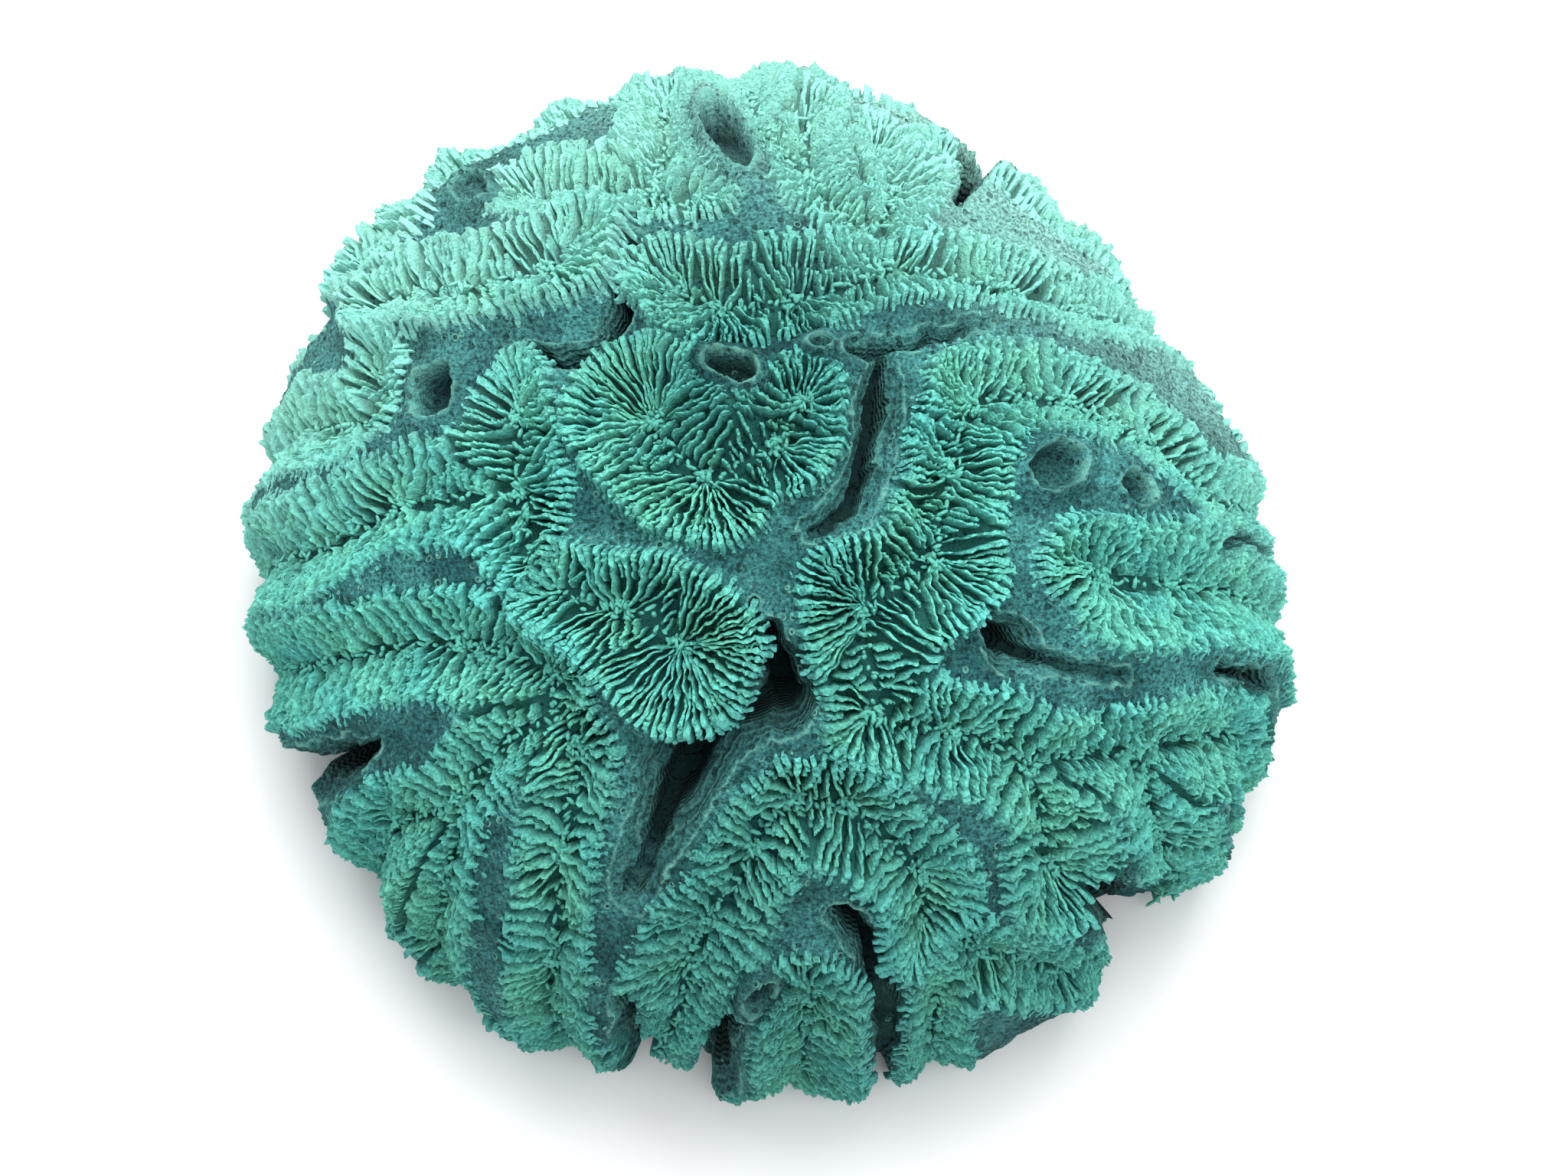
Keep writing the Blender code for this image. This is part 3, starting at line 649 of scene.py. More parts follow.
def skeleton_height(found, points, stand):
    """Return the height of the skeleton over the dome, with its slots, terraces and grains."""
    terraced = found["terraced"]
    terrace_height = waves(points, TERRACE_WAVES, TERRACE_HEIGHT)
    terraces = TERRACE_RISE * np.sin(2.0 * math.pi * terraced / terrace_height)
    terraces *= smooth_step(*TERRACES_START, terraced) * smooth_step(*TERRACES_END, terraced)
    grains = waves(points, BAND_GRAINS) * smooth_step(0.95, 1.05, found["nearest"])
    grains += waves(points, GRAINS)
    height = found["envelope"] - floor_sink(found, stand) - found["cut"]
    return height - terraces + RIM_RISE * rim_line(found, points) + grains


def rim_line(found, points):
    """Return where the thin broken line round the slots is, from 0 to 1."""
    line = np.exp(-(((found["past"] - RIM_PLACE) / RIM_WIDTH) ** 2))
    return line * np.clip(waves(points, RIM_WAVES, RIM_LEVEL), 0.0, 1.0)


def to_frame(places):
    """Turn millimetres from the dome's centre into the frame's metres."""
    shift = np.array([OUTLINE_MIDDLE[0], OUTLINE_MIDDLE[1], -CENTRE_HEIGHT])
    return (places - shift) * MM


def mesh_points(mesh):
    """Return a mesh's points as an array."""
    flat = np.empty(len(mesh.vertices) * 3, dtype=np.float32)
    mesh.vertices.foreach_get("co", flat)
    return flat.reshape(-1, 3).astype(float)


def store(mesh, name, values):
    """Store one number or vector at each point of a mesh."""
    values = np.asarray(values, dtype=np.float32)
    if values.ndim == 1:
        mesh.attributes.new(name, "FLOAT", "POINT").data.foreach_set("value", values)
    else:
        mesh.attributes.new(name, "FLOAT_VECTOR", "POINT").data.foreach_set("vector", values.ravel())


def new_object(name, mesh):
    """Link a new object to the scene's collection."""
    piece = bpy.data.objects.new(name, mesh)
    bpy.context.scene.collection.objects.link(piece)
    return piece


def finish_piece(piece, *replaced):
    """Hand a finished piece to the frame."""
    if replaced:
        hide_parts(*replaced)
    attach(piece, "root")


def base_sphere(subdivisions):
    """Return an icosphere in a bmesh."""
    work = bmesh.new()
    bmesh.ops.create_icosphere(work, subdivisions=subdivisions, radius=1.0)
    return work


def refine(work, chosen):
    """Split the chosen faces into four and keep everything triangles."""
    edges = list(dict.fromkeys(edge for face in chosen for edge in face.edges))
    bmesh.ops.subdivide_edges(work, edges=edges, cuts=1, use_grid_fill=True)
    bmesh.ops.triangulate(work, faces=[face for face in work.faces if len(face.verts) > 3])


def face_centres(work):
    """Return the faces' middles on the dome."""
    middles = np.array([face.calc_center_median()[:] for face in work.faces])
    return to_skin(middles)


@functools.lru_cache(maxsize=1)
def coarse_dome():
    """Return the points and triangles of an even mesh of the dome, and its survey."""
    work = base_sphere(7)
    points = to_skin(np.array([vertex.co[:] for vertex in work.verts]))
    work.verts.ensure_lookup_table()
    triangles = np.array([[vertex.index for vertex in face.verts] for face in work.faces])
    work.free()
    return points, triangles, survey(points)


def contour_lines(points, triangles, field):
    """Return the closed lines on a mesh where a field passes through zero."""
    inside = field < 0.0
    mixed = triangles[(inside[triangles].sum(axis=1) % 3) != 0]
    links = {}
    for triangle in mixed.tolist():
        crossed = []
        for first, last in zip(triangle, triangle[1:] + triangle[:1]):
            if inside[first] != inside[last]:
                crossed.append((min(first, last), max(first, last)))
        links.setdefault(crossed[0], []).append(crossed[1])
        links.setdefault(crossed[1], []).append(crossed[0])
    lines = []
    while links:
        start = next(iter(links))
        line = [start]
        before = None
        here = start
        while True:
            ahead = [edge for edge in links.pop(here) if edge != before]
            if not ahead or ahead[0] == start:
                break
            before = here
            here = ahead[0]
            if here not in links:
                break
            line.append(here)
        pairs = np.array(line)
        share = field[pairs[:, 0]] / (field[pairs[:, 0]] - field[pairs[:, 1]])
        lines.append(points[pairs[:, 0]] + share[:, None] * (points[pairs[:, 1]] - points[pairs[:, 0]]))
    return lines


def coarseness(points):
    """Return how much thicker and wider apart the septa are than at the crown."""
    return 1.0 + COARSER * smooth_step(CROWN_END, FLANK_BEGIN, off_axis(points))


def spaced(line, spacing, random):
    """Return points along a closed line at a spacing, slightly uneven, with their directions."""
    closed = np.vstack([line, line[:1]])
    lengths = np.linalg.norm(np.diff(closed, axis=0), axis=1)
    travelled = np.concatenate([[0.0], np.cumsum(lengths)])
    crowd = np.concatenate([[0.0], np.cumsum(lengths / (spacing * coarseness(closed[1:])))])
    count = int(crowd[-1])
    fewest = 6
    if count < fewest:
        return None, None
    unevenness = 0.20
    steps = (np.arange(count) + random.uniform(-unevenness, unevenness, count)) / count * crowd[-1]
    steps = np.interp(steps % crowd[-1], crowd, travelled)
    smoothing = 0.9

    def at(places):
        wrapped = places % travelled[-1]
        return np.stack([np.interp(wrapped, travelled, closed[:, axis]) for axis in range(3)], axis=1)

    here = (at(steps - smoothing) + at(steps) * 2.0 + at(steps + smoothing)) / 4.0
    ahead = at(steps + 2.0 * smoothing) - at(steps - 2.0 * smoothing)
    return here, unit(ahead)


def nearest_floor(points, segments):
    """Return the nearest place, by share of the half width, on a lobe's floor lines."""
    best = np.full(len(points), FAR)
    place = np.zeros((len(points), 3))
    for (start, start_width), (end, end_width) in segments:
        distance, share = along_segment(points, start, end)
        ratio = distance / (start_width + (end_width - start_width) * share)
        closer = ratio < best
        best[closer] = ratio[closer]
        place[closer] = (start + share[:, None] * (end - start))[closer]
    return place


def gap_septa(row, segments, taken, spacing):
    """Start septa at a lobe's floor line where those from its crest leave gaps.

    They go straight out on both sides. Returns their outer and inner ends.
    """
    foot, outward, reach = [], [], []
    for (start, start_width), (end, end_width) in segments:
        count = max(int(np.linalg.norm(end - start) / spacing), 1)
        share = ((np.arange(count) + 0.5) / count)[:, None]
        place = start + share * (end - start)
        across = unit(np.cross(place, end - start))
        for side in (1.0, -1.0):
            foot.append(place)
            outward.append(across * side)
            reach.append(start_width + share * (end_width - start_width))
    foot, outward, reach = (np.concatenate(rows) for rows in (foot, outward, reach))
    steps = np.linspace(0.1, 0.98, 12)
    lines = foot[:, None] + outward[:, None] * reach[:, None] * steps[None, :, None]
    lines = to_skin(lines.reshape(-1, 3)).reshape(lines.shape)
    ratios = lobe_fields(lines.reshape(-1, 3))[0]
    own = ratios[row].reshape(len(foot), -1)
    best = (ratios.argmin(axis=0) == row).reshape(own.shape)
    open_run = np.cumprod((own < 1.0) & best & (own > 0.84 * steps), axis=1).astype(bool)
    clear_of_others = 0.80
    neighbourhood = 12.0
    fewest = 4
    outer, inner = [], []
    taken = [taken]
    for line, free in zip(lines, open_run):
        crowd = np.concatenate(taken)
        crowd = crowd[np.sum((crowd - line[len(line) // 2]) ** 2, axis=1) < neighbourhood ** 2]
        if len(crowd):
            apart = np.linalg.norm(line[:, None] - crowd[None], axis=2).min(axis=1)
            free = free & (apart > clear_of_others)
        found = np.flatnonzero(free)
        if len(found) < fewest:
            continue
        stretch = line[found[0]:found[-1] + 1]
        taken.append(stretch)
        outer.append(stretch[-1])
        inner.append(stretch[0])
    return np.array(outer).reshape(-1, 3), np.array(inner).reshape(-1, 3)


def turn_to_polyps(targets):
    """Draw the septa's inner ends together at the polyp centres."""
    centres = np.array([on_dome(u, v) for u, v in POLYPS])
    offset = centres[None, :, :] - targets[:, None, :]
    distance = np.linalg.norm(offset, axis=2)
    closest = distance.argmin(axis=1)
    here = np.arange(len(targets))
    pull = POLYP_PULL * np.exp(-0.5 * (distance[here, closest] / POLYP_REACH) ** 4)
    return targets + offset[here, closest] * pull[:, None]


def bezier(start, bend, end, share):
    """Return the point at a share of the way along a bent line."""
    return (1 - share) ** 2 * start + 2 * share * (1 - share) * bend + share ** 2 * end


def patch_septa(lines):
    """Lay short septa wherever the valleys' floors are still bare.

    lines holds points along every septum. Returns the patches' outer and inner ends.
    """
    taken = KDTree(len(lines))
    for number, point in enumerate(lines):
        taken.insert(point, number)
    taken.balance()
    points, _, found = coarse_dome()
    bare = (found["nearest"] > 0.12) & (found["nearest"] < 0.86) & (found["hollow"] < 0.3)
    bare &= points[:, 2] > -CENTRE_HEIGHT
    rows = list(layout()["lobes"].values())
    longest = 2.6
    least_gap = 0.72
    steps = np.linspace(-longest, longest, 13)
    middle = len(steps) // 2
    outer, inner = [], []
    laid = np.full((1, 3), FAR)
    for index in np.flatnonzero(bare):
        centre = points[index]
        if taken.find(centre)[2] < least_gap or np.linalg.norm(laid - centre, axis=1).min() < least_gap:
            continue
        foot = nearest_floor(centre[None], rows[found["lobe"][index]])[0]
        line = to_skin(centre + unit(centre - foot) * steps[:, None])
        apart = np.array([taken.find(point)[2] for point in line])
        apart = np.minimum(apart, np.linalg.norm(line[:, None] - laid[None], axis=2).min(axis=1))
        free = apart > least_gap * 0.8
        first = middle - np.argmin(np.append(free[middle::-1], False)) + 1
        last = middle + np.argmin(np.append(free[middle:], False)) - 1
        if last - first < 3:
            continue
        laid = np.vstack([laid, line[first:last + 1]])
        outer.append(line[last])
        inner.append(line[first])
    return np.array(outer).reshape(-1, 3), np.array(inner).reshape(-1, 3)


def straight(outer, inner):
    """Return the rows of straight septa without a knob, as septum_lines gives them."""
    return outer, (outer + inner) * 0.5, inner, np.ones(len(outer)), np.zeros(len(outer))


def septum_lines(spacing, overhang, random):
    """Return the outer end, bend, inner end and crowding of every septum, and if it has a knob."""
    points, triangles, found = coarse_dome()
    ratios = found["ratios"]
    rows = []
    for row, segments in enumerate(layout()["lobes"].values()):
        others = np.delete(ratios, row, axis=0).min(axis=0)
        field = np.maximum(ratios[row] - 1.0, ratios[row] - others)
        own = []
        for line in contour_lines(points, triangles, field):
            here, heading = spaced(line, spacing, random)
            if here is None:
                continue
            here = to_skin(here)
            target = nearest_floor(here, segments)
            outward = unit(np.cross(heading, unit(here)))
            outward *= np.sign(np.sum((here - target) * outward, axis=1))[:, None]
            target = to_skin(turn_to_polyps(target))
            apart = np.linalg.norm(np.roll(target, -1, axis=0) - np.roll(target, 1, axis=0), axis=1)
            apart /= np.linalg.norm(np.roll(here, -1, axis=0) - np.roll(here, 1, axis=0), axis=1) + 1e-6
            start = here + outward * overhang * random.uniform(*OVERHANG_RANGE, (len(here), 1))
            reach = np.linalg.norm(target - start, axis=1)[:, None]
            bend = start - outward * reach * 0.5
            rows.append((start, bend, target, np.clip(apart, 0.0, 1.0), np.ones(len(start))))
            own += [bezier(start, bend, target, t) for t in np.linspace(0.0, 0.95, 14)]
        if own:
            rows.append(straight(*gap_septa(row, segments, np.concatenate(own), spacing)))
    ends = [np.concatenate(column)[:, None] for column in list(zip(*rows))[:3]]
    lines = bezier(*ends, np.linspace(0.0, 0.9, 16)[None, :, None])
    rows.append(straight(*patch_septa(lines.reshape(-1, 3))))
    return [np.concatenate(column) for column in zip(*rows)]


def clear_stretch(outer, bends, inner, length):
    """Return where each septum may start and end, as shares of its line, to stay out of hollows."""
    shares = np.linspace(0.0, 1.0, 14)
    places = bezier(outer[:, None], bends[:, None], inner[:, None], (length[:, None] * shares)[:, :, None])
    found = survey(to_skin(places.reshape(-1, 3)))
    hollow = (found["hollow"] > 1.0) | (found["pit_past"] < PIT_COLLAR)
    hollow = hollow.reshape(len(outer), -1)
    first_half = shares < 0.62
    begin = (hollow & first_half) * (shares + 1.0 / len(shares))
    end = np.where(hollow & ~first_half, shares - 1.0 / len(shares), 1.0)
    return begin.max(axis=1) * length, end.min(axis=1) * length


def septum_lengths(crowding, minor, order, random):
    """Return how much of its line each septum takes: every second one is short where they crowd."""
    full = 1.0 - 0.08 * random.uniform(size=len(crowding))
    short = 0.48 + 0.36 * crowding + 0.08 * random.uniform(-1.0, 1.0, len(crowding))
    return np.where(minor, short, np.where(order == 2, full * (0.86 + 0.12 * crowding), full))


def septum_paths(sizes):
    """Lay out every septum as a row of stations, and measure it at each station."""
    random = np.random.default_rng(21)
    outer, bends, inner, crowding, knobbed = septum_lines(
        sizes.septum_spacing / MM, sizes.crest_overhang / MM, random)
    count = len(outer)
    order = np.arange(count) % 4
    order[knobbed == 0.0] = 0
    minor = (order % 2 == 1)
    length = septum_lengths(crowding, minor, order, random)
    stations = sizes.stations
    share = (np.arange(stations) / (stations - 1)) ** 1.15
    begin, end = clear_stretch(outer, bends, inner, length)
    along = begin[:, None] + (end - begin)[:, None] * share[None, :]
    places = bezier(outer[:, None], bends[:, None], inner[:, None], along[:, :, None])
    flat = to_skin(places.reshape(-1, 3))
    places = flat.reshape(count, stations, 3)
    found = survey(flat)
    step = np.linalg.norm(np.diff(places, axis=1), axis=2)
    travelled = np.concatenate([np.zeros((count, 1)), np.cumsum(step, axis=1)], axis=1)
    whole = travelled[:, -1:]
    knob = np.exp(-(((travelled - KNOB_PLACE) / KNOB_LENGTH) ** 2)) * (knobbed * (begin == 0.0))[:, None]
    top = (found["envelope"] - found["hollow"] + waves(flat, SEPTUM_WAVES)).reshape(count, stations)
    top += KNOB_RISE * knob - np.where(minor, MINOR_DROP, 0.0)[:, None]
    top += random.uniform(*RISE_RANGE, (count, 1))
    coarse = coarseness(places)
    top -= OUTER_DROP * np.clip(1.0 - travelled / (OUTER_DROP_LENGTH * coarse ** 1.5), 0.0, 1.0) ** 1.6
    top -= INNER_DROP * np.clip((travelled / whole - 0.80) / 0.20, 0.0, 1.0) ** 2
    floor = found["envelope"] - floor_sink(found, sizes.septum_stand / MM) - found["hollow"]
    floor = floor.reshape(count, stations)
    top = np.maximum(top, floor + LEAST_RISE)
    thickness = PLAIN_THICKNESS + KNOB_THICKNESS * knob
    thickness *= np.sqrt(np.clip((travelled + TIP_THICKNESS) / OUTER_TAPER, 0.0, 1.0))
    thickness *= 1.0 - INNER_TAPER * (travelled / whole) ** 2
    half = sizes.septum_thickness / MM * 0.5 * thickness * random.uniform(*THICKNESS_RANGE, (count, 1))
    half *= np.where(minor, 0.88, 1.0)[:, None] * coarse ** 0.9
    up = unit(places)
    base = places + up * floor[:, :, None]
    keep = base[:, :, 2].max(axis=1) + CENTRE_HEIGHT > 1.5
    keep &= whole[:, 0] > SHORTEST
    keep &= end - begin > 0.12
    return {
        "base": base[keep], "up": up[keep],
        "side": unit(np.cross(up, unit(np.gradient(places, axis=1))))[keep],
        "rise": (top - floor)[keep] * MM, "half": half[keep] * MM,
        "crest": (np.exp(-((travelled / (1.4 * coarse)) ** 2)) * knobbed[:, None])[keep],
    }


class Nodes:
    """A node tree, with short ways to add its nodes and to join them."""

    def __init__(self, tree):
        self.tree = tree

    def add(self, kind, inputs=None, **settings):
        """Add a node with its settings, and feed its inputs with values or other nodes' outputs."""
        node = self.tree.nodes.new(kind)
        for name, value in settings.items():
            setattr(node, name, value)
        for key, value in (inputs or {}).items():
            self.feed(node.inputs[key], value)
        return node

    def feed(self, socket, value):
        """Join an output to a socket, or set the socket to a plain value."""
        if isinstance(value, bpy.types.NodeSocket):
            self.tree.links.new(value, socket)
        else:
            socket.default_value = value

    def math(self, operation, *values):
        """Add a Math node and return its output."""
        return self.add("ShaderNodeMath", dict(enumerate(values)), operation=operation).outputs[0]

    def plus(self, first, second):
        """Return a sum."""
        return self.math("ADD", first, second)

    def minus(self, first, second):
        """Return a difference."""
        return self.math("SUBTRACT", first, second)

    def times(self, first, second):
        """Return a product."""
        return self.math("MULTIPLY", first, second)

    def ramp(self, value, low, high, first, last, smooth=False):
        """Carry a value from between low and high to between first and last."""
        kind = "SMOOTHSTEP" if smooth else "LINEAR"
        given = dict(enumerate((value, low, high, first, last)))
        return self.add("ShaderNodeMapRange", given, interpolation_type=kind).outputs[0]

    def add_vectors(self, first, second):
        """Return the sum of two vectors."""
        return self.add("ShaderNodeVectorMath", {0: first, 1: second}, operation="ADD").outputs[0]

    def scale_vector(self, vector, scale):
        """Return a vector times a number."""
        return self.add("ShaderNodeVectorMath", {0: vector, 3: scale}, operation="SCALE").outputs[0]

    def split(self, vector):
        """Return a vector's three numbers."""
        return self.add("ShaderNodeSeparateXYZ", {0: vector}).outputs

    def noise(self, place, scale, detail, roughness=0.5):
        """Return noise at a place."""
        given = {"Vector": place, "Scale": scale, "Detail": detail, "Roughness": roughness}
        return self.add("ShaderNodeTexNoise", given).outputs[0]

    def place(self):
        """Return the place on the object, in metres."""
        return self.add("ShaderNodeTexCoord").outputs["Object"]

    def mix(self, factor, first, second, mode="MIX"):
        """Mix two colours."""
        given = {0: factor, 6: first, 7: second}
        return self.add("ShaderNodeMix", given, data_type="RGBA", blend_type=mode).outputs[2]

    def shade(self, colour, share):
        """Multiply a colour by a number."""
        grey = self.add("ShaderNodeCombineColor", {0: share, 1: share, 2: share}).outputs[0]
        return self.mix(1.0, colour, grey, "MULTIPLY")

    def stored(self, name):
        """Read a mesh attribute in a material."""
        return self.add("ShaderNodeAttribute", attribute_name=name).outputs["Fac"]

    def named(self, name, kind):
        """Read a stored attribute in a Geometry Nodes tree."""
        given = {"Name": name}
        return self.add("GeometryNodeInputNamedAttribute", given, data_type=kind).outputs["Attribute"]

    def sampled(self, geometry, name, index, kind):
        """Read a stored attribute of another geometry's points by index."""
        given = {"Geometry": geometry, "Value": self.named(name, kind), "Index": index}
        node = self.add("GeometryNodeSampleIndex", given, data_type=kind, domain="POINT")
        return node.outputs["Value"]

    def keep(self, geometry, name, value, kind, domain="POINT"):
        """Store a value on a geometry under a name."""
        given = {"Geometry": geometry, "Name": name, "Value": value}
        node = self.add("GeometryNodeStoreNamedAttribute", given, data_type=kind, domain=domain)
        return node.outputs["Geometry"]


def new_tree(name, inputs):
    """Start a Geometry Nodes tree with a geometry in and out and some named inputs."""
    tree = bpy.data.node_groups.new(name, "GeometryNodeTree")
    tree.interface.new_socket("Geometry", in_out="INPUT", socket_type="NodeSocketGeometry")
    tree.interface.new_socket("Geometry", in_out="OUTPUT", socket_type="NodeSocketGeometry")
    for label, kind in inputs.items():
        tree.interface.new_socket(label, in_out="INPUT", socket_type="NodeSocket" + kind)
    nodes = Nodes(tree)
    return nodes, nodes.add("NodeGroupInput").outputs


def close_tree(nodes, geometry, material, rounded):
    """End a tree: smooth or flat shading, the material, and out. Return the tree."""
    given = {"Geometry": geometry, "Shade Smooth": rounded}
    shaded = nodes.add("GeometryNodeSetShadeSmooth", given).outputs["Geometry"]
    painted = nodes.add("GeometryNodeSetMaterial", {"Geometry": shaded, "Material": material})
    nodes.add("NodeGroupOutput", {"Geometry": painted.outputs["Geometry"]})
    return nodes.tree


# The blades' roughness: noise in waves per metre, and lengths in metres
CHIP_SCALE = 2700.0
SWELL_SCALE = 1500.0
SWAY_SCALE = 420.0
LEAN_SCALE = 260.0
EDGE_SPREAD = 0.0004
CHIP_SHIFT = 0.00016
FULL_TEETH_RISE = 0.0015


def septum_tree():
    """Build the tree that turns each row of stations into one closed, toothed blade."""
    nodes, given = new_tree("septa", {
        "Stations": "Int", "Root depth": "Float", "Root spread": "Float", "Tooth height": "Float",
        "Tooth scale": "Float", "Wander": "Float", "Lean": "Float", "Material": "Material"})
    paths = given["Geometry"]
    index = nodes.add("GeometryNodeInputIndex").outputs[0]
    first = nodes.math("COMPARE", nodes.math("MODULO", index, given["Stations"]), 0.0, 0.25)
    starts = nodes.add("GeometryNodeMeshToPoints", {"Mesh": paths, "Selection": first})

    spans = nodes.minus(given["Stations"], 1.0)
    blade = nodes.add("GeometryNodeMeshCylinder", {
        "Vertices": 4, "Radius": 1.0, "Side Segments": spans, "Depth": spans})
    position = nodes.add("GeometryNodeInputPosition").outputs[0]
    template = nodes.keep(blade.outputs["Mesh"], "place", position, "FLOAT_VECTOR")
    copies = nodes.add("GeometryNodeInstanceOnPoints", {
        "Points": starts.outputs["Points"], "Instance": template})
    numbered = nodes.keep(copies.outputs["Instances"], "septum", index, "INT", "INSTANCE")
    real = nodes.add("GeometryNodeRealizeInstances", {"Geometry": numbered})

    right, back, lengthwise = nodes.split(nodes.named("place", "FLOAT_VECTOR"))
    level = nodes.minus(right, back)
    across = nodes.plus(right, back)
    station = nodes.math("ROUND", nodes.plus(lengthwise, nodes.times(spans, 0.5)))
    source = nodes.plus(nodes.times(nodes.named("septum", "INT"), given["Stations"]), station)
    up, side = (nodes.sampled(paths, name, source, "FLOAT_VECTOR") for name in ("up", "side"))
    rise, half, crest = (nodes.sampled(paths, name, source, "FLOAT") for name in ("rise", "half", "crest"))
    floor = nodes.add("GeometryNodeSampleIndex", data_type="FLOAT_VECTOR", domain="POINT", inputs={
        "Geometry": paths, "Value": position, "Index": source}).outputs["Value"]

    teeth = nodes.noise(floor, given["Tooth scale"], 1.5)
    ragged = nodes.times(nodes.minus(teeth, 0.5), 3.2)
    edge_place = nodes.add_vectors(floor, nodes.scale_vector(side, nodes.times(across, EDGE_SPREAD)))
    chipped = nodes.math("MULTIPLY_ADD", nodes.noise(edge_place, CHIP_SCALE, 0.0), 2.4, -1.2)
    tooth = nodes.times(nodes.plus(ragged, chipped), given["Tooth height"])
    tooth = nodes.times(tooth, nodes.ramp(rise, 0.0, FULL_TEETH_RISE, 0.08, 1.0))
    top = nodes.plus(rise, tooth)
    root = nodes.times(given["Root depth"], -1.0)
    height = nodes.ramp(level, -1.0, 1.0, root, top)

    swell = nodes.noise(nodes.add_vectors(floor, side), SWELL_SCALE, 1.0)
    swell = nodes.ramp(swell, 0.3, 0.7, 0.62, 1.38)
    sway = nodes.noise(nodes.add_vectors(floor, (0.3, 0.1, 0.7)), SWAY_SCALE, 2.0)
    drift = nodes.times(nodes.minus(sway, 0.5), given["Wander"])
    spread = nodes.ramp(level, -1.0, 1.0, given["Root spread"], 0.0)
    wide = nodes.plus(nodes.times(half, swell), spread)
    tilt = nodes.noise(nodes.add_vectors(floor, (0.9, 0.4, 0.2)), LEAN_SCALE, 2.0)
    lean = nodes.times(nodes.minus(tilt, 0.5), given["Lean"])
    lean = nodes.times(lean, nodes.ramp(level, -1.0, 1.0, 0.0, 1.0))
    sideways = nodes.plus(nodes.plus(nodes.times(across, wide), drift), lean)
    sideways = nodes.plus(sideways, nodes.times(chipped, CHIP_SHIFT))
    place = nodes.add_vectors(floor, nodes.scale_vector(up, height))
    place = nodes.add_vectors(place, nodes.scale_vector(side, sideways))
    bent = nodes.add("GeometryNodeSetPosition", {"Geometry": real.outputs["Geometry"], "Position": place})
    edge = nodes.ramp(height, root, top, 0.0, 1.0)
    shaded = nodes.keep(bent.outputs["Geometry"], "edge", edge, "FLOAT")
    shaded = nodes.keep(shaded, "collar", crest, "FLOAT")
    return close_tree(nodes, shaded, given["Material"], False)


def lump_tree():
    """Build the tree that strews a columella's rounded lumps along the floor lines."""
    nodes, given = new_tree("columellae", {"Length": "Float", "Seed": "Int", "Material": "Material"})

    def random_vector(low, high, seed):
        """Return a random vector for each point."""
        node = nodes.add("FunctionNodeRandomValue", data_type="FLOAT_VECTOR", inputs={
            0: low, 1: high, "Seed": nodes.plus(given["Seed"], float(seed))})
        return node.outputs[0]

    points = nodes.add("GeometryNodeMeshToPoints", {"Mesh": given["Geometry"]})
    offset = random_vector((-1.0, -1.0, -0.6), (1.0, 1.0, 0.6), 0)
    scatter = nodes.add("GeometryNodeSetPosition", {
        "Geometry": points.outputs["Points"],
        "Offset": nodes.scale_vector(offset, nodes.named("spread", "FLOAT"))})
    lump = nodes.add("GeometryNodeMeshIcoSphere", {"Radius": 1.0, "Subdivisions": 1})
    size = random_vector((0.34, 0.34, 0.7), (0.62, 0.62, 1.7), 2)
    copies = nodes.add("GeometryNodeInstanceOnPoints", {
        "Points": scatter.outputs["Geometry"], "Instance": lump.outputs["Mesh"],
        "Rotation": random_vector((0.0, 0.0, 0.0), (math.pi, math.pi, math.pi), 1),
        "Scale": nodes.scale_vector(size, given["Length"])})
    real = nodes.add("GeometryNodeRealizeInstances", {"Geometry": copies.outputs["Instances"]})
    return close_tree(nodes, real.outputs["Geometry"], given["Material"], True)


def grow(name, points, stored, tree, values):
    """Run a tree on a mesh of points and return the result as a plain object."""
    mesh = bpy.data.meshes.new("starting points")
    mesh.vertices.add(len(points))
    mesh.vertices.foreach_set("co", points.ravel().astype(np.float32))
    for label, numbers in stored.items():
        store(mesh, label, numbers)
    piece = new_object(name, mesh)
    modifier = piece.modifiers.new(tree.name, "NODES")
    modifier.node_group = tree
    for item in tree.interface.items_tree:
        if item.item_type == "SOCKET" and item.in_out == "INPUT" and item.name in values:
            modifier[item.identifier] = values[item.name]
    graph = bpy.context.evaluated_depsgraph_get()
    finished = bpy.data.meshes.new_from_object(piece.evaluated_get(graph))
    piece.modifiers.remove(modifier)
    piece.data = finished
    finished.name = name
    bpy.data.meshes.remove(mesh)
    return piece


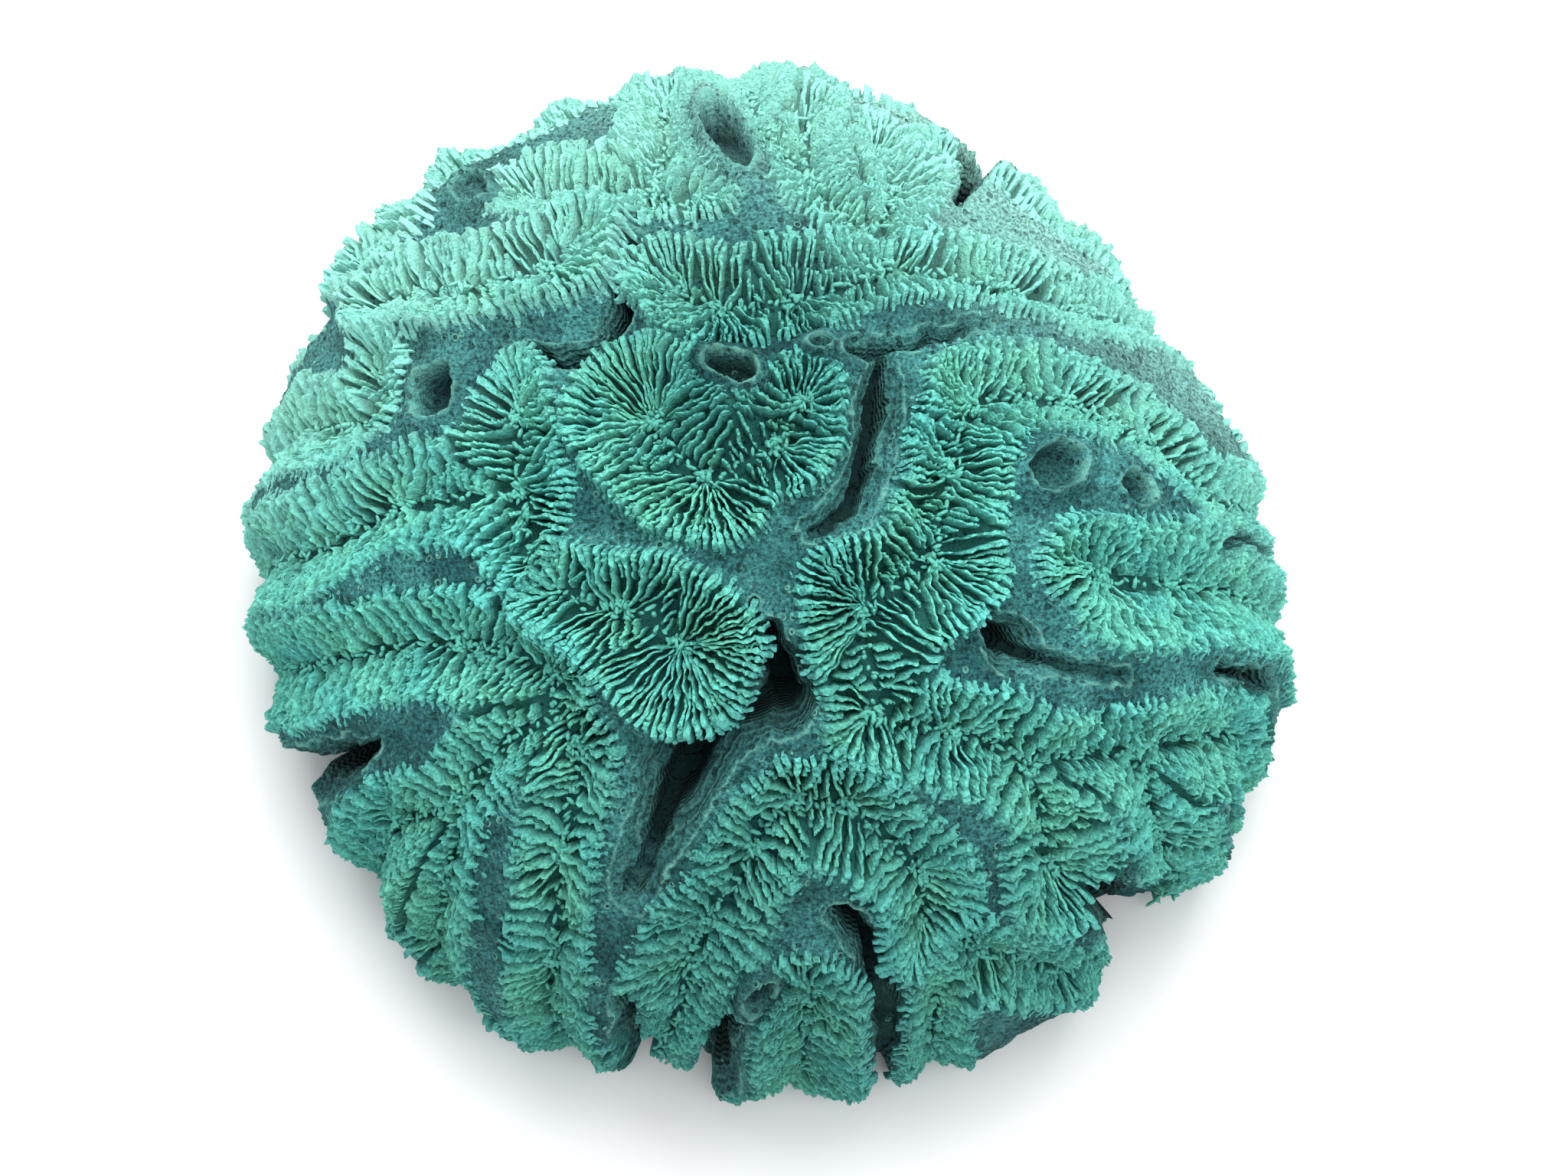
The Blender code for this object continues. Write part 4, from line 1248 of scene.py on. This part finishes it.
@functools.lru_cache(maxsize=1)
def grain_group():
    """Build the group that gives the skeleton its grain, pores and patches."""
    group = bpy.data.node_groups.new("coral grain", "ShaderNodeTree")
    for label, value in (("Grain scale", 2000.0), ("Pore scale", 900.0), ("Patch scale", 95.0)):
        socket = group.interface.new_socket(label, in_out="INPUT", socket_type="NodeSocketFloat")
        socket.default_value = value
    for label in ("Grain", "Pores", "Patches", "Height"):
        group.interface.new_socket(label, in_out="OUTPUT", socket_type="NodeSocketFloat")
    nodes = Nodes(group)
    given = nodes.add("NodeGroupInput").outputs
    place = nodes.place()
    grain = nodes.ramp(nodes.noise(place, given["Grain scale"], 3.0, 0.6), 0.32, 0.68, 0.0, 1.0)
    patches = nodes.noise(place, given["Patch scale"], 4.0, 0.6)
    patches = nodes.ramp(patches, 0.35, 0.65, 0.0, 1.0, True)
    cells = nodes.add("ShaderNodeTexVoronoi", {"Vector": place, "Scale": given["Pore scale"]}).outputs
    picked = nodes.add("ShaderNodeSeparateColor", {0: cells["Color"]}).outputs
    near = nodes.minus(nodes.ramp(picked[0], 0.35, 1.0, 0.0, 0.46), cells["Distance"])
    pores = nodes.ramp(near, 0.0, 0.12, 0.0, 1.0, True)
    height = nodes.minus(grain, nodes.times(pores, 1.6))
    nodes.add("NodeGroupOutput", {"Grain": grain, "Pores": pores, "Patches": patches, "Height": height})
    return group


def start_material(name, roughness, bump_strength, bump_distance=0.00022):
    """Start a matt material. Return it, its nodes, the grain's outputs and the bump's height."""
    material = bpy.data.materials.new(name)
    material.use_nodes = True
    nodes = Nodes(material.node_tree)
    shader = material.node_tree.nodes["Principled BSDF"].inputs
    shader["Metallic"].default_value = 0.0
    shader["Roughness"].default_value = roughness
    shader["Specular IOR Level"].default_value = 0.16
    texture = nodes.add("ShaderNodeGroup", node_tree=grain_group())
    for socket in texture.inputs:
        socket.default_value = grain_group().interface.items_tree[socket.name].default_value
    bump = nodes.add("ShaderNodeBump", {
        "Strength": bump_strength, "Distance": bump_distance, "Height": texture.outputs["Height"]})
    nodes.feed(shader["Normal"], bump.outputs["Normal"])
    return material, nodes, shader, texture.outputs, bump.inputs["Height"]


def painted_far_light(nodes, most, start=0.018, full=0.066, right_only=False):
    """Return how much painted light pales the coral, more towards its far side and its flanks."""
    right, away, _ = nodes.split(nodes.place())
    aside = right if right_only else nodes.math("ABSOLUTE", right)
    return nodes.ramp(nodes.math("MULTIPLY_ADD", aside, 0.55, away), start, full, 0.0, most, True)


def paint_shade_by_place(nodes, colour):
    """Paint shade on a colour: darker towards the coral's near side, along its middle and on its crown."""
    place = nodes.place()
    right, away, _ = nodes.split(place)
    share = nodes.ramp(away, -0.062, -0.012, 0.80, 1.06, True)
    aside = nodes.ramp(nodes.math("ABSOLUTE", right), 0.004, 0.034, 0.94, 1.03, True)
    crown_top = (-0.002, 0.018, 0.066)
    distance = nodes.add("ShaderNodeVectorMath", {0: place, 1: crown_top}, operation="DISTANCE")
    crown = nodes.ramp(distance.outputs["Value"], 0.010, 0.026, 0.86, 1.0, True)
    return nodes.shade(colour, nodes.times(nodes.times(share, aside), crown))


def septum_material(colours):
    """Make the septa's colour: bright toothed edges above roots darkened deep green by painted shade."""
    material, nodes, shader, texture, _ = start_material("septum", 0.72, 0.8)
    # Painted shade: each blade darkens from its edge down to the root colour, for the shade between the
    # septa.
    edge = nodes.ramp(nodes.stored("edge"), 0.30, 0.98, 0.0, 1.0)
    base = nodes.mix(edge, colours.root, colours.septum)
    blue = nodes.ramp(texture["Patches"], 0.1, 0.8, 0.1, 0.85)
    blue = nodes.times(blue, nodes.ramp(texture["Grain"], 0.2, 0.8, 1.5, 0.5))
    base = nodes.mix(nodes.times(blue, nodes.stored("collar")), base, colours.crest)
    tint = nodes.mix(texture["Patches"], (0.86, 0.95, 1.02, 1.0), (1.12, 1.05, 0.98, 1.0))
    base = nodes.mix(1.0, base, tint, "MULTIPLY")
    base = nodes.shade(base, nodes.ramp(texture["Grain"], 0.0, 1.0, 0.66, 1.30))
    # Painted shade by place, then painted light towards the far side and the flanks.
    base = paint_shade_by_place(nodes, base)
    nodes.feed(shader["Base Color"], nodes.mix(painted_far_light(nodes, 0.60), base, colours.overlit))
    return material


def ring_pores(nodes, where):
    """Return the pale rings and dark mouths of the small pores beside the crests."""
    cells = nodes.add("ShaderNodeTexVoronoi", {"Scale": 560.0, "Vector": nodes.place()}).outputs
    picked = nodes.add("ShaderNodeSeparateColor", {0: cells["Color"]}).outputs
    chosen = nodes.times(nodes.math("GREATER_THAN", picked[1], 0.55), where)
    mouth = nodes.ramp(cells["Distance"], 0.12, 0.20, 1.0, 0.0, True)
    outside = nodes.ramp(cells["Distance"], 0.26, 0.36, 1.0, 0.0, True)
    return nodes.times(nodes.minus(outside, mouth), chosen), nodes.times(mouth, chosen)


def band_colour(nodes, texture, colours):
    """Return the bands' colour: blue-green grains and patches, with painted shade and with painted light
    that is strongest at the far right.
    """
    band = nodes.mix(texture["Patches"], colours.band, colours.patch)
    band = nodes.shade(band, nodes.ramp(texture["Grain"], 0.0, 1.0, 0.30, 1.85))
    band = paint_shade_by_place(nodes, band)
    # Painted light, broken up by the grain, towards the far side and most at the far right.
    light_grain = nodes.ramp(texture["Grain"], 0.15, 0.85, 0.30, 1.30)
    pale = nodes.plus(painted_far_light(nodes, 0.10), painted_far_light(nodes, 0.62, 0.030, 0.066, True))
    return nodes.mix(nodes.times(light_grain, pale), band, colours.overlit)


def skeleton_material(colours):
    """Make the skeleton's colours: granular bands, floors and deep slots darkened by painted shade, pale
    rims and terraced slots.
    """
    material, nodes, shader, texture, bump_height = start_material("skeleton", 0.86, 1.0, 0.0004)
    terraced = nodes.stored("terraced")
    cut = nodes.stored("cut")
    phase = nodes.math("MULTIPLY_ADD", terraced, 7.5, nodes.times(texture["Patches"], 1.6))
    lines = nodes.ramp(nodes.math("SINE", phase), -1.0, 1.0, 0.0, 1.0)
    terraces = nodes.times(lines, nodes.ramp(terraced, 0.4, 1.6, 0.0, 1.0, True))
    # Painted shade: the deeper a cut, the more of the dark hollow colour it gets.
    deep = nodes.times(nodes.ramp(cut, 1.5, 5.5, 0.15, 1.0), nodes.ramp(cut, 0.4, 1.6, 0.0, 1.0, True))
    rings, mouths = ring_pores(nodes, nodes.stored("collar"))
    # The floors between the septa take the painted root shade, paled by the painted far light.
    root = nodes.mix(painted_far_light(nodes, 0.42), colours.root, colours.overlit)
    colour = band_colour(nodes, texture, colours)
    for share, over in (
            (nodes.times(terraces, 0.3), colours.rim), (nodes.stored("rim"), colours.rim),
            (deep, colours.hollow_shade), (nodes.times(rings, 0.7), colours.rim),
            (nodes.times(mouths, 0.8), colours.hollow_shade), (nodes.stored("floor"), root),
            (nodes.times(texture["Pores"], 0.65), colours.hollow_shade)):
        colour = nodes.mix(share, colour, over)
    nodes.feed(shader["Base Color"], colour)
    relief = nodes.math("MULTIPLY_ADD", terraces, 1.6, texture["Height"])
    nodes.feed(bump_height, nodes.math("MULTIPLY_ADD", rings, 1.5, relief))
    return material


def lump_material(colours):
    """Make the columellae's colour, a little paler than the septa's roots."""
    material, nodes, shader, texture, _ = start_material("columella", 0.8, 0.55)
    # Painted shade by place, then painted light towards the far side and the flanks.
    colour = paint_shade_by_place(nodes, nodes.mix(texture["Grain"], colours.lump, colours.septum))
    nodes.feed(shader["Base Color"], nodes.mix(painted_far_light(nodes, 0.60), colour, colours.overlit))
    return material


class CORAL_OT_skeleton(Operator):
    """Build the skeleton: the dome with its valleys, bands, slots, pits and notches"""

    bl_idname = "coral.skeleton"
    bl_label = "Build skeleton"

    def execute(self, context):
        mesh = self.fine_dome()
        points = to_skin(mesh_points(mesh))
        found = survey(points)
        height = skeleton_height(found, points, context.scene.coral_sizes.septum_stand / MM)
        places = to_frame(points + unit(points) * height[:, None])
        mesh.vertices.foreach_set("co", places.ravel())
        bare = np.maximum(smooth_step(0.93, 1.04, found["nearest"]), smooth_step(0.3, 0.9, found["hollow"]))
        bare = np.maximum(bare, smooth_step(1.7, 0.8, found["pit_past"]))
        store(mesh, "cut", found["cut"])
        store(mesh, "terraced", found["terraced"])
        # floor marks where the septa stand; the material paints shade there.
        store(mesh, "floor", 1.0 - bare)
        store(mesh, "rim", 0.8 * rim_line(found, points) * bare)
        store(mesh, "collar", np.exp(-(((found["beyond"] - 1.1) / 0.7) ** 2)) * bare)
        self.cut_flat(mesh)
        mesh.shade_smooth()
        piece = new_object("skeleton", mesh)
        mesh.materials.append(skeleton_material(context.scene.coral_colours))
        finish_piece(piece, "brain_coral")
        return {"FINISHED"}

    def fine_dome(self):
        """Return a mesh of the dome that is finer on the bands and finest at the slots."""
        work = base_sphere(7)
        for past_edge, bands_too in ((1.6, True), (0.9, False)):
            middles = face_centres(work)
            found = survey(middles)
            chosen = (found["nearest"] > 0.9) | (found["hollow"] > 0.2)
            chosen &= (found["past"] < past_edge) & (found["past"] > -6.0)
            chosen &= middles[:, 2] > -CENTRE_HEIGHT - 1.0
            if bands_too:
                chosen |= (found["nearest"] > 0.93) & (middles[:, 2] > 0.0)
            work.faces.ensure_lookup_table()
            refine(work, [work.faces[index] for index in np.flatnonzero(chosen)])
        mesh = bpy.data.meshes.new("skeleton")
        work.to_mesh(mesh)
        work.free()
        return mesh

    def cut_flat(self, mesh):
        """Cut the skeleton off flat at its base and close the cut."""
        work = bmesh.new()
        work.from_mesh(mesh)
        everything = work.verts[:] + work.edges[:] + work.faces[:]
        cut = bmesh.ops.bisect_plane(
            work, geom=everything, dist=0.00001, plane_co=(0.0, 0.0, 0.0),
            plane_no=(0.0, 0.0, -1.0), clear_outer=True)
        rim = [part for part in cut["geom_cut"] if isinstance(part, bmesh.types.BMEdge)]
        bmesh.ops.contextual_create(work, geom=rim)
        bmesh.ops.triangulate(work, faces=work.faces[:])
        bmesh.ops.recalc_face_normals(work, faces=work.faces[:])
        work.to_mesh(mesh)
        work.free()


class CORAL_OT_septa(Operator):
    """Build the septa: the thin toothed blades across the valleys, on the crown and on four sides"""

    bl_idname = "coral.septa"
    bl_label = "Build septa"

    def execute(self, context):
        sizes = context.scene.coral_sizes
        paths = septum_paths(sizes)
        tree = septum_tree()
        values = {
            "Stations": sizes.stations, "Root depth": 0.0005, "Root spread": 0.00006,
            "Tooth height": sizes.tooth_height, "Tooth scale": 850.0, "Wander": 0.0012,
            "Lean": 0.0022, "Material": septum_material(context.scene.coral_colours)}
        for side, chosen in self.sides(paths["base"][:, sizes.stations // 2]).items():
            part = {name: np.concatenate(rows[chosen]) for name, rows in paths.items()}
            piece = grow("septa_" + side, to_frame(part.pop("base")), part, tree, values)
            rest_on_cut(piece.data)
            finish_piece(piece)
        return {"FINISHED"}

    def sides(self, middles):
        """Share the septa out by where their middles lie."""
        turn = np.degrees(np.arctan2(middles[:, 1], middles[:, 0])) % 360.0
        crown_reach = 34.0
        crown = off_axis(middles) < crown_reach
        parts = {"crown": crown}
        for number, side in enumerate(("right", "far", "left", "near")):
            parts[side] = ~crown & (((turn + 45.0) % 360.0 // 90.0).astype(int) == number)
        return parts


class CORAL_OT_columellae(Operator):
    """Build the columellae: the spongy lumps along the valleys' floors"""

    bl_idname = "coral.columellae"
    bl_label = "Build columellae"

    def execute(self, context):
        sizes = context.scene.coral_sizes
        spacing = sizes.lump_spacing / MM
        along = []
        for segments in layout()["lobes"].values():
            for (start, _), (end, _) in segments:
                count = max(int(np.linalg.norm(end - start) / spacing), 1)
                along.append(start + (np.arange(count) / count)[:, None] * (end - start))
        polyps = np.repeat([on_dome(u, v) for u, v in POLYPS], sizes.polyp_lumps, axis=0)
        points = to_skin(np.concatenate(along + [polyps]))
        spread = np.full(len(points), 0.6 * MM)
        spread[-len(polyps):] = 1.15 * MM
        found = survey(points)
        below_edges = 0.35
        height = found["envelope"] - found["hollow"] - below_edges
        points = to_frame(points + unit(points) * height[:, None])
        over_cut = points[:, 2] > 1.5 * MM
        piece = grow("columellae", points[over_cut], {"spread": spread[over_cut]}, lump_tree(), {
            "Length": sizes.lump_length, "Seed": 5,
            "Material": lump_material(context.scene.coral_colours)})
        finish_piece(piece)
        return {"FINISHED"}


def rest_on_cut(mesh):
    """Keep a mesh's points above the flat cut."""
    points = mesh_points(mesh)
    points[:, 2] = np.maximum(points[:, 2], 0.0)
    mesh.vertices.foreach_set("co", points.ravel())
    mesh.update()


class CORAL_OT_stage(Operator):
    """Set the stage: a pale surface, soft light and the camera"""

    bl_idname = "coral.stage"
    bl_label = "Set stage"

    def execute(self, context):
        self.lay_surface(context.scene.coral_colours)
        self.hang_light("key light", place=(0.05, 0.78, 1.10), size=1.4, power=27.0)
        self.hang_light("fill light", place=(0.4, -0.5, 1.4), size=1.6, power=14.0)
        self.light_world()
        self.place_camera(context.scene)
        context.scene.view_settings.view_transform = "Standard"
        return {"FINISHED"}

    def lay_surface(self, colours):
        """Lay the plain surface that the coral rests on."""
        work = bmesh.new()
        bmesh.ops.create_grid(work, x_segments=1, y_segments=1, size=3.0)
        mesh = bpy.data.meshes.new("surface")
        work.to_mesh(mesh)
        work.free()
        surface = new_object("surface", mesh)
        surface.location.z = -0.0001
        material = bpy.data.materials.new("pale surface")
        material.use_nodes = True
        shader = material.node_tree.nodes["Principled BSDF"]
        shader.inputs["Base Color"].default_value = colours.floor
        shader.inputs["Roughness"].default_value = 0.9
        shader.inputs["Specular IOR Level"].default_value = 0.0
        mesh.materials.append(material)

    def hang_light(self, name, place, size, power):
        """Hang a square soft light that faces the coral."""
        light = bpy.data.lights.new(name, "AREA")
        light.size = size
        light.energy = power
        lamp = new_object(name, light)
        lamp.location = place
        lamp.rotation_euler = (-lamp.location).to_track_quat("-Z", "Y").to_euler()

    def light_world(self):
        """Fill the shadows with an even white sky."""
        world = bpy.data.worlds.new("studio")
        world.use_nodes = True
        background = world.node_tree.nodes["Background"]
        background.inputs["Color"].default_value = (0.93, 0.97, 1.0, 1.0)
        background.inputs["Strength"].default_value = 0.66
        bpy.context.scene.world = world

    def place_camera(self, scene):
        """Look down on the coral as the photograph does."""
        right, up, back = view_axes()
        aim = right * VIEW_AIM[0] + up * VIEW_AIM[1]
        places = to_frame(np.array([back * VIEW_DISTANCE, aim]))
        lens = bpy.data.cameras.new("camera")
        lens.sensor_width = 36.0
        lens.lens = lens.sensor_width * VIEW_DISTANCE / VIEW_WIDTH
        lens.clip_start = 0.01
        camera = new_object("camera", lens)
        camera.location = places[0]
        heading = Vector(places[1] - places[0])
        camera.rotation_euler = heading.to_track_quat("-Z", "Y").to_euler()
        scene.camera = camera


class CORAL_PT_panel(Panel):
    """The coral's sizes, colours and steps"""

    bl_idname = "CORAL_PT_panel"
    bl_label = "Brain Coral"
    bl_space_type = "VIEW_3D"
    bl_region_type = "UI"
    bl_category = "Brain Coral"

    def draw(self, context):
        rows = self.layout
        for group in (context.scene.coral_sizes, context.scene.coral_colours):
            box = rows.box()
            for name in group.bl_rna.properties.keys():
                if name not in ("rna_type", "name"):
                    box.prop(group, name)
        for step in STEPS:
            rows.operator(step.bl_idname)


STEPS = (CORAL_OT_skeleton, CORAL_OT_septa, CORAL_OT_columellae, CORAL_OT_stage)
CLASSES = (CoralSizes, CoralColours) + STEPS + (CORAL_PT_panel,)


def register():
    """Add the classes and the scene's settings."""
    for item in CLASSES:
        bpy.utils.register_class(item)
    bpy.types.Scene.coral_sizes = PointerProperty(type=CoralSizes)
    bpy.types.Scene.coral_colours = PointerProperty(type=CoralColours)


def unregister():
    """Remove the scene's settings and the classes."""
    del bpy.types.Scene.coral_colours
    del bpy.types.Scene.coral_sizes
    for item in reversed(CLASSES):
        bpy.utils.unregister_class(item)


def main():
    """Build the dressed coral."""
    register()
    bpy.ops.coral.skeleton()
    bpy.ops.coral.septa()
    bpy.ops.coral.columellae()
    bpy.ops.coral.stage()


if __name__ == "__main__":
    main()
